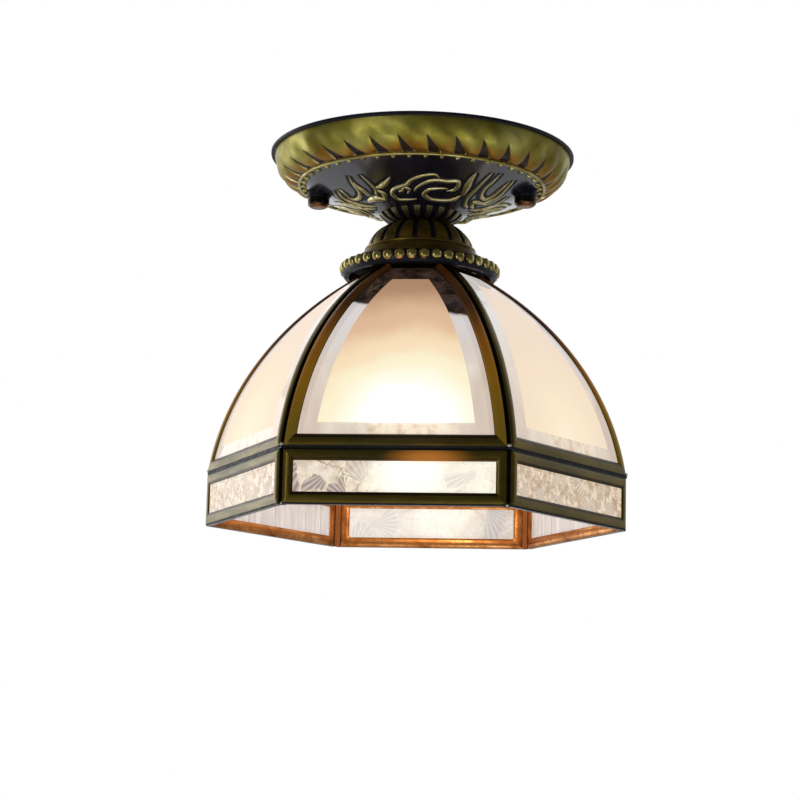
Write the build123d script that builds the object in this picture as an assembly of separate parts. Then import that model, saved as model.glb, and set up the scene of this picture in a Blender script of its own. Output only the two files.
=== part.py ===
"""Semi flush ceiling light: stamped canopy, fluted shade cap and a six-sided shade of glass in brass channel.

All sizes are millimetres. The ceiling is the plane z = 0, the light hangs below it and its axis is Z.
One shade panel faces -Y, and the two cap nuts stand on the X axis.
"""

from build123d import *
import math
import os

# Canopy, the stamped pan against the ceiling
CANOPY_DIAMETER = 160.0
CANOPY_SHEET = 1.2
LIP_HEIGHT = 1.8
LIP_STEP = 2.0
RIM_WIDTH = 15.5
RIM_DEPTH = 16.8
RIM_BULGE = 3.4
RING_WIRE = 1.8
RING_DROP = 0.45
CONE_HEIGHT = 15.4
COLLAR_DIAMETER = 43.6
COLLAR_HEIGHT = 5.0
COLLAR_BULGE = 0.9
FLOOR_DIAMETER = 25.0
GADROONS = 32
NOTCH_LENGTH = 10.5
NOTCH_WIDTH = 6.2
NOTCH_SWIRL = 4.5
NOTCH_DEPTH = 0.6
CANOPY_BEADS = 48
CANOPY_BEAD_DIAMETER = 2.2
CANOPY_BEAD_INSET = 1.7
COLLAR_FLUTES = 20
COLLAR_FLUTE_WIDTH = 2.6
COLLAR_FLUTE_DEPTH = 0.6

# Mounting bar, its studs and the cap nuts
STUD_INSET = 9.6
SLOT_INSET = 15.2
SLOT_LENGTH = 18.0
SLOT_WIDTH = 5.0
BAR_END = 9.5
BAR_WIDTH = 22.0
BAR_THICKNESS = 2.0
WIRE_HOLE_DIAMETER = 12.0
STUD_DIAMETER = 4.0
STUD_HEAD_HEIGHT = 1.6
STUD_HEAD_DIAMETER = 7.4
STUD_NUT_WIDTH = 7.0
STUD_NUT_HEIGHT = 3.2
PAD_MARGIN = 0.3
PAD_STAND = 0.2
PAD_ROOT = 0.6
CAP_NUT_DIAMETER = 11.4
CAP_NUT_HEIGHT = 5.2
CAP_NUT_CROWN = 2.0
CAP_NUT_CROWN_BULGE = 0.5
CAP_NUT_END_DIAMETER = 6.2
CAP_NUT_CEILING = 1.2
CAP_NUT_BORE_CLEARANCE = 0.05
CAP_NUT_GRIPS = 20
CAP_NUT_GRIP_DEPTH = 0.35
CAP_NUT_GRIP_MARGIN = 0.6
EARTH_SCREW_DIAMETER = 4.0
EARTH_SCREW_HEAD = 8.0
EARTH_SCREW_HEAD_HEIGHT = 2.4
EARTH_SCREW_HEAD_TAPER = 0.8
EARTH_SCREW_SLOT_WIDTH = 0.8
EARTH_SCREW_SLOT_DEPTH = 1.2
EARTH_SCREW_LENGTH = 6.0
EARTH_SCREW_MARGIN = 2.5

# Centre stem: threaded tube, nuts, washers and the spacer
STEM_DIAMETER = 10.0
STEM_BORE = 7.0
STEM_CLEARANCE = 0.15
STEM_STAND = 3.0
STEM_GRIP = 8.4
STEM_NUT_WIDTH = 14.0
STEM_NUT_HEIGHT = 4.0
WASHER_DIAMETER = 20.0
WASHER_THICKNESS = 1.2
SPACER_DIAMETER = 15.0

# Shade cap: fluted dome, ledge and beaded rim
CAP_SHEET = 1.2
CAP_CROWN_DIAMETER = 22.0
CAP_DOME_DIAMETER = 55.6
CAP_DOME_HEIGHT = 13.8
CAP_DOME_BULGE = 3.4
CAP_RIDGE = 1.4
CAP_LEDGE_HEIGHT = 8.6
CAP_LEDGE_HOLLOW = 0.7
CAP_RIM_HEIGHT = 7.2
CAP_RIM_OUTSET = 3.8
CAP_RIM_LAND = 1.0
CAP_RIM_SWELL = 3.3
CAP_SHADE_CLEARANCE = 1.2
CAP_BEADS = 40
CAP_BEAD_DEPTH = 1.3
CAP_FLUTES = 18
CAP_FLUTE_WIDTH = 1.9
CAP_FLUTE_DEPTH = 0.6

# Shade: bent dome panels over an upright skirt
SIDES = 6
SHADE_ACROSS_FLATS = 190.6
SHADE_DEPTH = 198.0
SKIRT_HEIGHT = 27.0
WAIST_SEAM = 1.9
DOME_TOP_BELOW_LEDGE = 4.0
DOME_TOP_ACROSS_FLATS = 52.0
DOME_FOOT_LEAN = 7.2
FRAME_SHEET = 0.6
FRAME_FACE = 5.6
FRAME_EDGE_RADIUS = 1.5
CORNER_SEAM = 3.2
SEAM_RECESS = 1.0
GLASS_THICKNESS = 3.0
GLASS_CLEARANCE = 0.1
BEVEL_WIDTH = 8.0
BEVEL_DEPTH = 0.8
CROWN_PAN_SHEET = 1.2
CROWN_PAN_CLEARANCE = 0.2

# Lampholder
HOLDER_WALL = 5.6
HOLDER_CAP_HEIGHT = 14.0
HOLDER_CAP_WALL = 2.5
HOLDER_CAP_BULGE = 2.0
HOLDER_NECK_WALL = 4.8
HOLDER_NECK_HEIGHT = 5.6
HOLDER_BODY_HEIGHT = 33.0
HOLDER_FLOOR = 5.0
HOLDER_RIM_BEAD = 2.0
SCREW_SHELL_SHEET = 0.5
SCREW_SHELL_HEIGHT = 20.0
SCREW_SHELL_CLEARANCE = 0.1
CONTACT_WIDTH = 6.0
CONTACT_LENGTH = 18.0
CONTACT_FOOT = 3.0
CONTACT_SHEET = 0.8
CONTACT_RISE = 3.0
TERMINAL_DIAMETER = 2.4
TERMINAL_HEAD_DIAMETER = 4.4
TERMINAL_HEAD_HEIGHT = 1.6
TERMINAL_SLOT_WIDTH = 0.8
TERMINAL_SLOT_DEPTH = 0.8
TERMINAL_INSET = 2.0
LEAD_HOLE_DIAMETER = 3.5

# Lamp: a globe on a screw base
LAMP_BASE_DIAMETER = 26.0
LAMP_BASE_HEIGHT = 26.0
LAMP_BASE_TAPER = 1.6
LAMP_BASE_SHEET = 0.6
LAMP_TIP_DIAMETER = 10.0
LAMP_TIP_HEIGHT = 1.6
LAMP_TIP_CLEARANCE = 0.1
LAMP_GLOBE_DIAMETER = 45.0
LAMP_GLASS = 1.2
LAMP_NECK_CLEARANCE = 0.3
LAMP_NECK_STAND = 9.5
LAMP_NECK_GRIP = 4.0
MOVING_GAP = 0.3

HALF_ANGLE = math.pi / SIDES
FIRST_PANEL_AZIMUTH = -90.0


def ring_places(count, first=0.0):
    """Rotations about Z that put count copies evenly round the axis."""
    return [Rot(0, 0, first + 360.0 * i / count) for i in range(count)]


def panel_places():
    return ring_places(SIDES, FIRST_PANEL_AZIMUTH)


def turned(points):
    """Solid of revolution about Z from the corners of its half section, given as (radius, z)."""
    corners = [Vector(r, 0, z) for r, z in points]
    return revolve(make_face(Polyline(corners, close=True)), Axis.Z)


def turned_edges(edges):
    """Solid of revolution about Z from the edges of its half section in the XZ plane."""
    return revolve(make_face(edges), Axis.Z)


def line(start, end):
    return Line(Vector(start[0], 0, start[1]), Vector(end[0], 0, end[1]))


def bulged(start, end, bulge):
    """Arc in the XZ plane between two (radius, z) points, standing bulge to the left of the way."""
    run, rise = end[0] - start[0], end[1] - start[1]
    length = math.hypot(run, rise)
    middle = ((start[0] + end[0]) / 2 - rise / length * bulge, (start[1] + end[1]) / 2 + run / length * bulge)
    return ThreePointArc(*[Vector(p[0], 0, p[1]) for p in (start, middle, end)])


def tube(outer_diameter, inner_diameter, low, high):
    inner, outer = inner_diameter / 2, outer_diameter / 2
    return turned([(inner, low), (outer, low), (outer, high), (inner, high)])


def hex_nut(across_flats, bore_diameter, low, height):
    """Hexagon nut whose lower face is at low."""
    outline = RegularPolygon(across_flats / 2, 6, major_radius=False) - Circle(bore_diameter / 2)
    return extrude(Pos(0, 0, low) * outline, height)


# Heights and radii of the canopy that follow from the sizes above
canopy_radius = CANOPY_DIAMETER / 2
ring_radius = canopy_radius - RIM_WIDTH
collar_radius = COLLAR_DIAMETER / 2
canopy_depth = RIM_DEPTH + CONE_HEIGHT + COLLAR_HEIGHT
rim_start = (canopy_radius - LIP_STEP, -LIP_HEIGHT)
ring_point = (ring_radius, -RIM_DEPTH)
collar_point = (collar_radius, -RIM_DEPTH - CONE_HEIGHT)
floor_point = (FLOOR_DIAMETER / 2, -canopy_depth)
cone_slope = CONE_HEIGHT / (ring_radius - collar_radius)
cone_angle = math.atan(cone_slope)
canopy_floor_top = -canopy_depth + CANOPY_SHEET
stem_hole = STEM_DIAMETER + 2 * STEM_CLEARANCE


def cone_depth(radius):
    """Depth below the ceiling of the canopy's outer cone at a radius."""
    return RIM_DEPTH + (ring_radius - radius) * cone_slope


stud_x = ring_radius - STUD_INSET
slot_x = stud_x - SLOT_INSET
earth_x = WIRE_HOLE_DIAMETER / 2 + EARTH_SCREW_HEAD / 2 + EARTH_SCREW_MARGIN
pad_radius = CAP_NUT_DIAMETER / 2 + PAD_MARGIN
pad_depth = cone_depth(stud_x - pad_radius) + PAD_STAND
cap_nut_top = -pad_depth
cap_nut_bottom = cap_nut_top - CAP_NUT_HEIGHT


# Canopy
def canopy_shell():
    """The plain pan: lip, bulged rim, cone, bulged collar and flat floor, all of one sheet."""
    sheet = CANOPY_SHEET
    across = sheet / math.cos(cone_angle)
    inner_rim = (rim_start[0] - sheet, rim_start[1] + sheet / 2)
    inner_ring = (ring_point[0] - sheet / 2, ring_point[1] + across)
    inner_collar = (collar_point[0], collar_point[1] + across)
    inner_floor = (floor_point[0], canopy_floor_top)
    return turned_edges([
        line((stem_hole / 2, floor_point[1]), floor_point),
        bulged(floor_point, collar_point, -COLLAR_BULGE),
        line(collar_point, ring_point),
        bulged(ring_point, rim_start, -RIM_BULGE),
        line(rim_start, (canopy_radius, -LIP_HEIGHT)),
        line((canopy_radius, -LIP_HEIGHT), (canopy_radius, 0)),
        line((canopy_radius, 0), (inner_rim[0], 0)),
        line((inner_rim[0], 0), inner_rim),
        bulged(inner_rim, inner_ring, RIM_BULGE),
        line(inner_ring, inner_collar),
        bulged(inner_collar, inner_floor, COLLAR_BULGE),
        line(inner_floor, (stem_hole / 2, canopy_floor_top)),
        line((stem_hole / 2, canopy_floor_top), (stem_hole / 2, floor_point[1])),
    ])


def gadroon_notches():
    """Swirled three-cornered recesses of one depth that part the gadroons of the rim."""
    arc = bulged(ring_point, rim_start, -RIM_BULGE)
    start = RING_WIRE / 2 + NOTCH_DEPTH
    foot = arc @ (start / arc.length)
    tip = arc @ ((start + NOTCH_LENGTH) / arc.length)
    reach = (tip - foot).length
    along = (tip - foot).normalized()
    outward = Vector(along.Z, 0, -along.X)
    plane = Plane(origin=foot - outward * NOTCH_DEPTH, x_dir=along, z_dir=outward)
    corners = [(0, -NOTCH_WIDTH / 2), (0, NOTCH_WIDTH / 2), (reach, -NOTCH_SWIRL)]
    wedge = extrude(plane * make_face(Polyline(corners, close=True)), NOTCH_DEPTH + RIM_BULGE)
    core = Pos(0, 0, arc.arc_center.Z) * Torus(arc.arc_center.X, arc.radius - NOTCH_DEPTH)
    tool = wedge - core
    return [place * tool for place in ring_places(GADROONS)]


def canopy_beads():
    radius = ring_radius - CANOPY_BEAD_INSET
    bead = Pos(radius, 0, -cone_depth(radius)) * Sphere(CANOPY_BEAD_DIAMETER / 2)
    return [place * bead for place in ring_places(CANOPY_BEADS)]


def collar_flutes():
    """Straight grooves down the bulged collar round the stem."""
    run, rise = collar_point[0] - floor_point[0], collar_point[1] - floor_point[1]
    length = math.hypot(run, rise)
    outward = Vector(rise / length, 0, -run / length)
    middle = Vector((collar_point[0] + floor_point[0]) / 2, 0, (collar_point[1] + floor_point[1]) / 2)
    flute_radius = COLLAR_FLUTE_WIDTH / 2
    axis_point = middle + outward * (COLLAR_BULGE - COLLAR_FLUTE_DEPTH + flute_radius)
    plane = Plane(origin=axis_point, x_dir=(0, 1, 0), z_dir=Vector(run, 0, rise))
    tool = plane * Cylinder(flute_radius, length * 2)
    return [place * tool for place in ring_places(COLLAR_FLUTES)]


def nut_pads():
    """Flat bosses on the cone that the cap nuts seat on, trimmed to the inside of the pan."""
    pads = []
    for side in (-1, 1):
        pad = Pos(side * stud_x, 0, -pad_depth) * Cylinder(
            pad_radius, pad_depth, align=(Align.CENTER, Align.CENTER, Align.MIN))
        pads.append(pad)
    skin = PAD_ROOT / math.cos(cone_angle)
    cone = turned([
        (0, -cone_depth(0) + skin), (ring_radius, -RIM_DEPTH + skin),
        (ring_radius, -cone_depth(0)), (0, -cone_depth(0))])
    return [pad & cone for pad in pads]


def canopy():
    body = canopy_shell()
    body -= gadroon_notches()
    body -= collar_flutes()
    ring = Pos(0, 0, -RIM_DEPTH - RING_DROP) * Torus(ring_radius, RING_WIRE / 2)
    body += [ring, *canopy_beads(), *nut_pads()]
    hole = Cylinder(STUD_DIAMETER / 2 + STEM_CLEARANCE, 2 * canopy_depth)
    body -= [Pos(side * stud_x, 0, -pad_depth) * hole for side in (-1, 1)]
    return body


# Mounting bar and its hardware
def mounting_bar():
    outline = SlotOverall(2 * (stud_x + BAR_END), BAR_WIDTH)
    slot = SlotOverall(SLOT_LENGTH, SLOT_WIDTH)
    outline -= [Pos(side * slot_x, 0) * slot for side in (-1, 1)]
    outline -= [Pos(side * stud_x, 0) * Circle(STUD_DIAMETER / 2) for side in (-1, 1)]
    outline -= Circle(WIRE_HOLE_DIAMETER / 2)
    outline -= Pos(earth_x, 0) * Circle(EARTH_SCREW_DIAMETER / 2)
    return extrude(Pos(0, 0, -BAR_THICKNESS) * outline, BAR_THICKNESS)


def stud():
    """Screw whose head lies in the ceiling box above the bar's hole and whose tip ends inside the cap nut."""
    tip = cap_nut_bottom + CAP_NUT_CEILING + MOVING_GAP
    radius, head = STUD_DIAMETER / 2, STUD_HEAD_DIAMETER / 2
    return turned([
        (0, tip), (radius, tip), (radius, 0),
        (head, 0), (head, STUD_HEAD_HEIGHT), (0, STUD_HEAD_HEIGHT)])


def at_studs(shape):
    return Compound([Pos(side * stud_x, 0, 0) * shape for side in (-1, 1)])


def stud_nut():
    return hex_nut(STUD_NUT_WIDTH, STUD_DIAMETER, -BAR_THICKNESS - STUD_NUT_HEIGHT, STUD_NUT_HEIGHT)


def earth_screw():
    """Screw in the bar's third hole, with its head on the room side."""
    radius, head = EARTH_SCREW_DIAMETER / 2, EARTH_SCREW_HEAD / 2
    under_head = -BAR_THICKNESS
    head_end = under_head - EARTH_SCREW_HEAD_HEIGHT
    top = under_head + EARTH_SCREW_LENGTH
    screw = turned([
        (0, head_end), (head - EARTH_SCREW_HEAD_TAPER, head_end), (head, under_head),
        (radius, under_head), (radius, top), (0, top)])
    slot = Box(2 * EARTH_SCREW_HEAD, EARTH_SCREW_SLOT_WIDTH, 2 * EARTH_SCREW_SLOT_DEPTH)
    return Pos(earth_x, 0, 0) * (screw - Pos(0, 0, head_end) * slot)


def cap_nut(side):
    """Blind decorative nut with a crowned end and fine grip grooves, turned about its stud."""
    radius = CAP_NUT_DIAMETER / 2
    shoulder = cap_nut_bottom + CAP_NUT_CROWN
    bore = STUD_DIAMETER / 2 + CAP_NUT_BORE_CLEARANCE
    bore_end = cap_nut_bottom + CAP_NUT_CEILING
    crown_edge = (CAP_NUT_END_DIAMETER / 2, cap_nut_bottom)
    body = turned_edges([
        line((0, cap_nut_bottom), crown_edge),
        bulged(crown_edge, (radius, shoulder), -CAP_NUT_CROWN_BULGE),
        line((radius, shoulder), (radius, cap_nut_top)),
        line((radius, cap_nut_top), (bore, cap_nut_top)),
        line((bore, cap_nut_top), (bore, bore_end)),
        line((bore, bore_end), (0, bore_end)),
        line((0, bore_end), (0, cap_nut_bottom)),
    ])
    grip_height = cap_nut_top - shoulder - 2 * CAP_NUT_GRIP_MARGIN
    grip_side = CAP_NUT_GRIP_DEPTH * math.sqrt(2)
    grip_middle = Pos(radius, 0, (cap_nut_top + shoulder) / 2)
    groove = grip_middle * Rot(0, 0, 45) * Box(grip_side, grip_side, grip_height)
    body -= [place * groove for place in ring_places(CAP_NUT_GRIPS)]
    return Pos(side * stud_x, 0, 0) * body


# Heights of the shade cap, and the bend of the dome panels seen in the plane across one panel
cap_top = -canopy_depth
cap_dome_end = cap_top - CAP_DOME_HEIGHT
cap_ledge_end = cap_dome_end - CAP_LEDGE_HEIGHT
cap_rim_bottom = cap_ledge_end - CAP_RIM_HEIGHT
shade_apothem = SHADE_ACROSS_FLATS / 2
skirt_top = -SHADE_DEPTH + SKIRT_HEIGHT
frame_depth = GLASS_THICKNESS + 2 * GLASS_CLEARANCE + 2 * FRAME_SHEET
foot_angle = math.radians(DOME_FOOT_LEAN)
dome_foot = (shade_apothem, skirt_top + WAIST_SEAM + frame_depth * math.sin(foot_angle))
dome_head = (DOME_TOP_ACROSS_FLATS / 2, cap_ledge_end - DOME_TOP_BELOW_LEDGE)


def bend_circle():
    """Centre and radius of the circle through the dome's foot and head that leans as set at the foot."""
    run, rise = dome_head[0] - dome_foot[0], dome_head[1] - dome_foot[1]
    across = run * math.cos(foot_angle) + rise * math.sin(foot_angle)
    radius = -(run ** 2 + rise ** 2) / (2 * across)
    return dome_foot[0] - radius * math.cos(foot_angle), dome_foot[1] - radius * math.sin(foot_angle), radius


bend_x, bend_z, bend_radius = bend_circle()
head_angle = math.atan2(dome_head[1] - bend_z, dome_head[0] - bend_x)


def dome_corner_radius(z):
    """Distance from the axis to the dome's corners at a height."""
    return (bend_x + math.sqrt(bend_radius ** 2 - (z - bend_z) ** 2)) / math.cos(HALF_ANGLE)


# Shade cap
cap_ledge_radius = dome_corner_radius(cap_rim_bottom) + CAP_SHADE_CLEARANCE + CAP_SHEET
cap_rim_radius = cap_ledge_radius + CAP_RIM_OUTSET
cap_crown_point = (CAP_CROWN_DIAMETER / 2, cap_top)
cap_dome_point = (CAP_DOME_DIAMETER / 2, cap_dome_end)


def cap_shell():
    """One sheet: flat crown, dome, small ridge, hollow ledge and the plain band behind the beads."""
    sheet = CAP_SHEET
    ridge_out = (cap_dome_point[0] + CAP_RIDGE, cap_dome_end)
    ridge_end = (ridge_out[0], cap_dome_end - CAP_RIDGE)
    ledge = (cap_ledge_radius, cap_ledge_end)
    band = (ledge[0], cap_rim_bottom)
    inside_band = (band[0] - sheet, cap_rim_bottom)
    inside_ledge = (inside_band[0], cap_ledge_end - sheet)
    inside_ridge = (ridge_end[0] - sheet, ridge_end[1] - sheet)
    inside_dome = (cap_dome_point[0] - sheet, cap_dome_end)
    inside_crown = (cap_crown_point[0] - sheet / 2, cap_top - sheet)
    return turned_edges([
        line((stem_hole / 2, cap_top), cap_crown_point),
        bulged(cap_crown_point, cap_dome_point, CAP_DOME_BULGE),
        line(cap_dome_point, ridge_out),
        line(ridge_out, ridge_end),
        bulged(ridge_end, ledge, -CAP_LEDGE_HOLLOW),
        line(ledge, band),
        line(band, inside_band),
        line(inside_band, inside_ledge),
        bulged(inside_ledge, inside_ridge, CAP_LEDGE_HOLLOW),
        line(inside_ridge, inside_dome),
        bulged(inside_dome, inside_crown, -CAP_DOME_BULGE),
        line(inside_crown, (stem_hole / 2, cap_top - sheet)),
        line((stem_hole / 2, cap_top - sheet), (stem_hole / 2, cap_top)),
    ])


def cap_flutes():
    """Grooves that follow the dome's arc and part its lobes."""
    arc = bulged(cap_crown_point, cap_dome_point, CAP_DOME_BULGE)
    lift = CAP_FLUTE_WIDTH / 2 - CAP_FLUTE_DEPTH
    section = Plane(origin=arc @ 0, z_dir=arc % 0, x_dir=(0, 1, 0)) * Circle(CAP_FLUTE_WIDTH / 2)
    centre = arc.arc_center
    axis = Axis(centre, (0, 1, 0))
    away = ((arc @ 0) - centre).normalized()
    swing = math.degrees(arc.length / arc.radius)
    tool = Pos(*(away * lift)) * section
    groove = revolve(tool, axis, swing)
    return [place * groove for place in ring_places(CAP_FLUTES, 180.0 / CAP_FLUTES)]


def bead_rim():
    """Scalloped band of beads round the cap's lower edge, rounded top and bottom."""
    root = cap_rim_radius - CAP_BEAD_DEPTH
    pitch = 2 * math.pi / CAP_BEADS
    edges = []
    for i in range(CAP_BEADS):
        points = [(root, i), (cap_rim_radius, i + 0.5), (root, i + 1)]
        edges.append(ThreePointArc(*[
            Vector(r * math.cos(pitch * n), r * math.sin(pitch * n), cap_rim_bottom) for r, n in points]))
    lobes = extrude(make_face(edges), CAP_RIM_HEIGHT, dir=(0, 0, 1))
    inner = cap_ledge_radius - CAP_SHEET / 2
    land = cap_ledge_radius + CAP_RIM_LAND
    low, high = (land, cap_rim_bottom), (land, cap_ledge_end)
    cushion = turned_edges([
        line((inner, cap_rim_bottom), low),
        bulged(low, high, -CAP_RIM_SWELL),
        line(high, (inner, cap_ledge_end)),
        line((inner, cap_ledge_end), (inner, cap_rim_bottom)),
    ])
    return lobes & cushion


def shade_cap():
    body = cap_shell()
    body -= cap_flutes()
    return body + bead_rim()


# Shade
def on_bend(radius, angle):
    return Vector(bend_x + radius * math.cos(angle), 0, bend_z + radius * math.sin(angle))


def bent_slab(outset_low, outset_high, trim):
    """Dome panel slab between two depths inside the outer face, its head and foot cut back by trim."""
    inner, outer = bend_radius - outset_high, bend_radius - outset_low
    low, high = foot_angle + trim / bend_radius, head_angle - trim / bend_radius
    middle = (low + high) / 2
    face = make_face([
        ThreePointArc(on_bend(outer, low), on_bend(outer, middle), on_bend(outer, high)),
        Line(on_bend(outer, high), on_bend(inner, high)),
        ThreePointArc(on_bend(inner, high), on_bend(inner, middle), on_bend(inner, low)),
        Line(on_bend(inner, low), on_bend(outer, low)),
    ])
    return extrude(face, shade_apothem, both=True)


def flat_slab(outset_low, outset_high, trim):
    """Skirt panel slab between two depths inside the outer face, its top and bottom cut back by trim."""
    low, high = -SHADE_DEPTH + trim, skirt_top - trim
    near, far = shade_apothem - outset_high, shade_apothem - outset_low
    corners = [Vector(near, 0, low), Vector(far, 0, low), Vector(far, 0, high), Vector(near, 0, high)]
    return extrude(make_face(Polyline(corners, close=True)), shade_apothem, both=True)


def mitre_wedge(inset):
    """Upright wedge between the two mitre planes of one panel, each moved in by inset."""
    tip = inset / math.sin(HALF_ANGLE)
    reach = SHADE_ACROSS_FLATS
    half = (reach - tip) * math.tan(HALF_ANGLE)
    face = make_face(Polyline([(tip, 0), (reach, -half), (reach, half)], close=True))
    return extrude(Pos(0, 0, -2 * SHADE_DEPTH) * face, 2 * SHADE_DEPTH)


def panel(slab, outset_low, outset_high, trim):
    """A slab cut to one panel's outline, its four edges cut back by trim from the frame's outer edges."""
    return slab(outset_low, outset_high, trim) & mitre_wedge(CORNER_SEAM / 2 + trim * math.cos(HALF_ANGLE))


def frame(slab, outer_of):
    """Channel folded round all four edges of a pane: rounded outside, slotted inside, open over the pane."""
    blank = panel(slab, 0, frame_depth, 0)
    blank = fillet(outer_of(blank).edges(), FRAME_EDGE_RADIUS)
    slot = panel(slab, FRAME_SHEET, frame_depth - FRAME_SHEET, FRAME_SHEET)
    window = panel(slab, -FRAME_FACE, frame_depth + FRAME_FACE, FRAME_FACE)
    return blank - slot - window


def pane(slab):
    """Glass of one panel, clear of the channel by the glass clearance."""
    skin = FRAME_SHEET + GLASS_CLEARANCE
    return panel(slab, skin, frame_depth - skin, skin)


def bevelled_pane():
    """Bent glass whose outer face slopes down to its edges, past the frame and across the clear border."""
    glass = pane(bent_slab)
    face = bent_outer(glass)
    width = FRAME_FACE - FRAME_SHEET + BEVEL_WIDTH
    return chamfer(face.edges(), length=width, length2=BEVEL_DEPTH, reference=face)


def bent_outer(shape):
    return shape.faces().filter_by(GeomType.CYLINDER).sort_by(SortBy.AREA)[-1]


def flat_outer(shape):
    return shape.faces().sort_by(Axis.X)[-1]


def corner_seams(slab):
    """Solder in the corners between the frames, a little below their faces."""
    whole = slab(SEAM_RECESS, frame_depth, 0) & mitre_wedge(0)
    fillers = whole - mitre_wedge(CORNER_SEAM / 2)
    halves = [place * filler for place in panel_places() for filler in fillers.solids()]
    return Part() + halves


def waist_seam():
    """Solder between the dome frames and the skirt frames, a six-sided ring."""
    inner_foot = on_bend(bend_radius - frame_depth, foot_angle)
    outer_foot = on_bend(bend_radius - SEAM_RECESS, foot_angle)
    low = skirt_top
    corners = [Vector(inner_foot.X, 0, low), Vector(outer_foot.X, 0, low), outer_foot, inner_foot]
    bar = extrude(make_face(Polyline(corners, close=True)), shade_apothem, both=True) & mitre_wedge(0)
    return Part() + [place * bar for place in panel_places()]


def crown_pan():
    """Six-sided pan soldered into the dome's top opening, with the stem's hole in its floor."""
    gap = CROWN_PAN_CLEARANCE / math.cos(math.pi / 2 - head_angle)
    top = on_bend(bend_radius, head_angle)
    floor = on_bend(bend_radius - frame_depth, head_angle)

    def hexagon(apothem, z):
        turn = math.degrees(HALF_ANGLE)
        return Pos(0, 0, z) * RegularPolygon(apothem, SIDES, major_radius=False, rotation=turn)

    outside = loft([hexagon(floor.X - gap, floor.Z), hexagon(top.X - gap, top.Z)])
    wall = CROWN_PAN_SHEET / math.sin(head_angle)
    slope = (top.X - floor.X) / (top.Z - floor.Z)
    lift = CROWN_PAN_SHEET
    inside = loft([
        hexagon(floor.X - gap - wall + slope * lift, floor.Z + lift),
        hexagon(top.X - gap - wall + slope * lift, top.Z + lift),
    ])
    hole = Pos(0, 0, floor.Z) * Cylinder(stem_hole / 2, 4 * CROWN_PAN_SHEET)
    return panel_places()[0] * (outside - inside - hole)


# Stem stack, from the ceiling down
crown_floor = on_bend(bend_radius - frame_depth, head_angle).Z
crown_floor_top = crown_floor + CROWN_PAN_SHEET
top_washer_top = canopy_floor_top + WASHER_THICKNESS
stem_top = top_washer_top + STEM_NUT_HEIGHT + STEM_STAND
shade_washer_bottom = crown_floor - WASHER_THICKNESS
shade_nut_bottom = shade_washer_bottom - STEM_NUT_HEIGHT
holder_top = shade_nut_bottom
holder_shoulder = holder_top - HOLDER_CAP_HEIGHT
holder_bottom = holder_shoulder - HOLDER_BODY_HEIGHT
stem_bottom = holder_top - STEM_GRIP


def washer(low):
    return tube(WASHER_DIAMETER, stem_hole, low, low + WASHER_THICKNESS)


def stem_nut(low):
    return hex_nut(STEM_NUT_WIDTH, stem_hole, low, STEM_NUT_HEIGHT)


# Lampholder and lamp
shell_inner = LAMP_BASE_DIAMETER / 2 + MOVING_GAP
shell_outer = shell_inner + SCREW_SHELL_SHEET
holder_bore = shell_outer + SCREW_SHELL_CLEARANCE
holder_radius = holder_bore + HOLDER_WALL
holder_floor_bottom = holder_shoulder - HOLDER_FLOOR
shell_flange = math.hypot(CONTACT_LENGTH, CONTACT_WIDTH) / 2 + MOVING_GAP
lamp_tip = holder_floor_bottom - CONTACT_RISE - MOVING_GAP
lamp_base_top = lamp_tip - LAMP_TIP_HEIGHT
lamp_base_bottom = lamp_base_top - LAMP_BASE_HEIGHT
globe_radius = LAMP_GLOBE_DIAMETER / 2
globe_shoulder = math.sqrt(globe_radius ** 2 - (LAMP_BASE_DIAMETER / 2) ** 2)
globe_centre = lamp_base_bottom - LAMP_NECK_STAND - globe_shoulder


def holder_cap():
    """Domed top of the lampholder, screwed on the stem."""
    stem = stem_hole / 2
    neck = stem + HOLDER_NECK_WALL
    neck_end = holder_top - HOLDER_NECK_HEIGHT
    inside = holder_radius - HOLDER_CAP_WALL
    return turned_edges([
        line((stem, holder_top), (neck, holder_top)),
        line((neck, holder_top), (neck, neck_end)),
        bulged((neck, neck_end), (holder_radius, holder_shoulder), HOLDER_CAP_BULGE),
        line((holder_radius, holder_shoulder), (inside, holder_shoulder)),
        line((inside, holder_shoulder), (neck, stem_bottom)),
        line((neck, stem_bottom), (stem, stem_bottom)),
        line((stem, stem_bottom), (stem, holder_top)),
    ])


def terminal_places():
    """One terminal over a foot of the centre contact, the other over the flange of the screw shell."""
    over_foot = -(CONTACT_LENGTH - CONTACT_FOOT) / 2
    over_flange = shell_outer - TERMINAL_INSET
    return [Pos(over_foot, 0, holder_shoulder), Pos(over_flange, 0, holder_shoulder)]


def terminal_screws():
    radius, head = TERMINAL_DIAMETER / 2, TERMINAL_HEAD_DIAMETER / 2
    screw = turned([
        (0, -HOLDER_FLOOR), (radius, -HOLDER_FLOOR), (radius, 0), (head, 0),
        (head, TERMINAL_HEAD_HEIGHT), (0, TERMINAL_HEAD_HEIGHT)])
    slot = Box(2 * TERMINAL_HEAD_DIAMETER, TERMINAL_SLOT_WIDTH, 2 * TERMINAL_SLOT_DEPTH)
    screw -= Pos(0, 0, TERMINAL_HEAD_HEIGHT) * slot
    return Compound([place * screw for place in terminal_places()])


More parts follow.
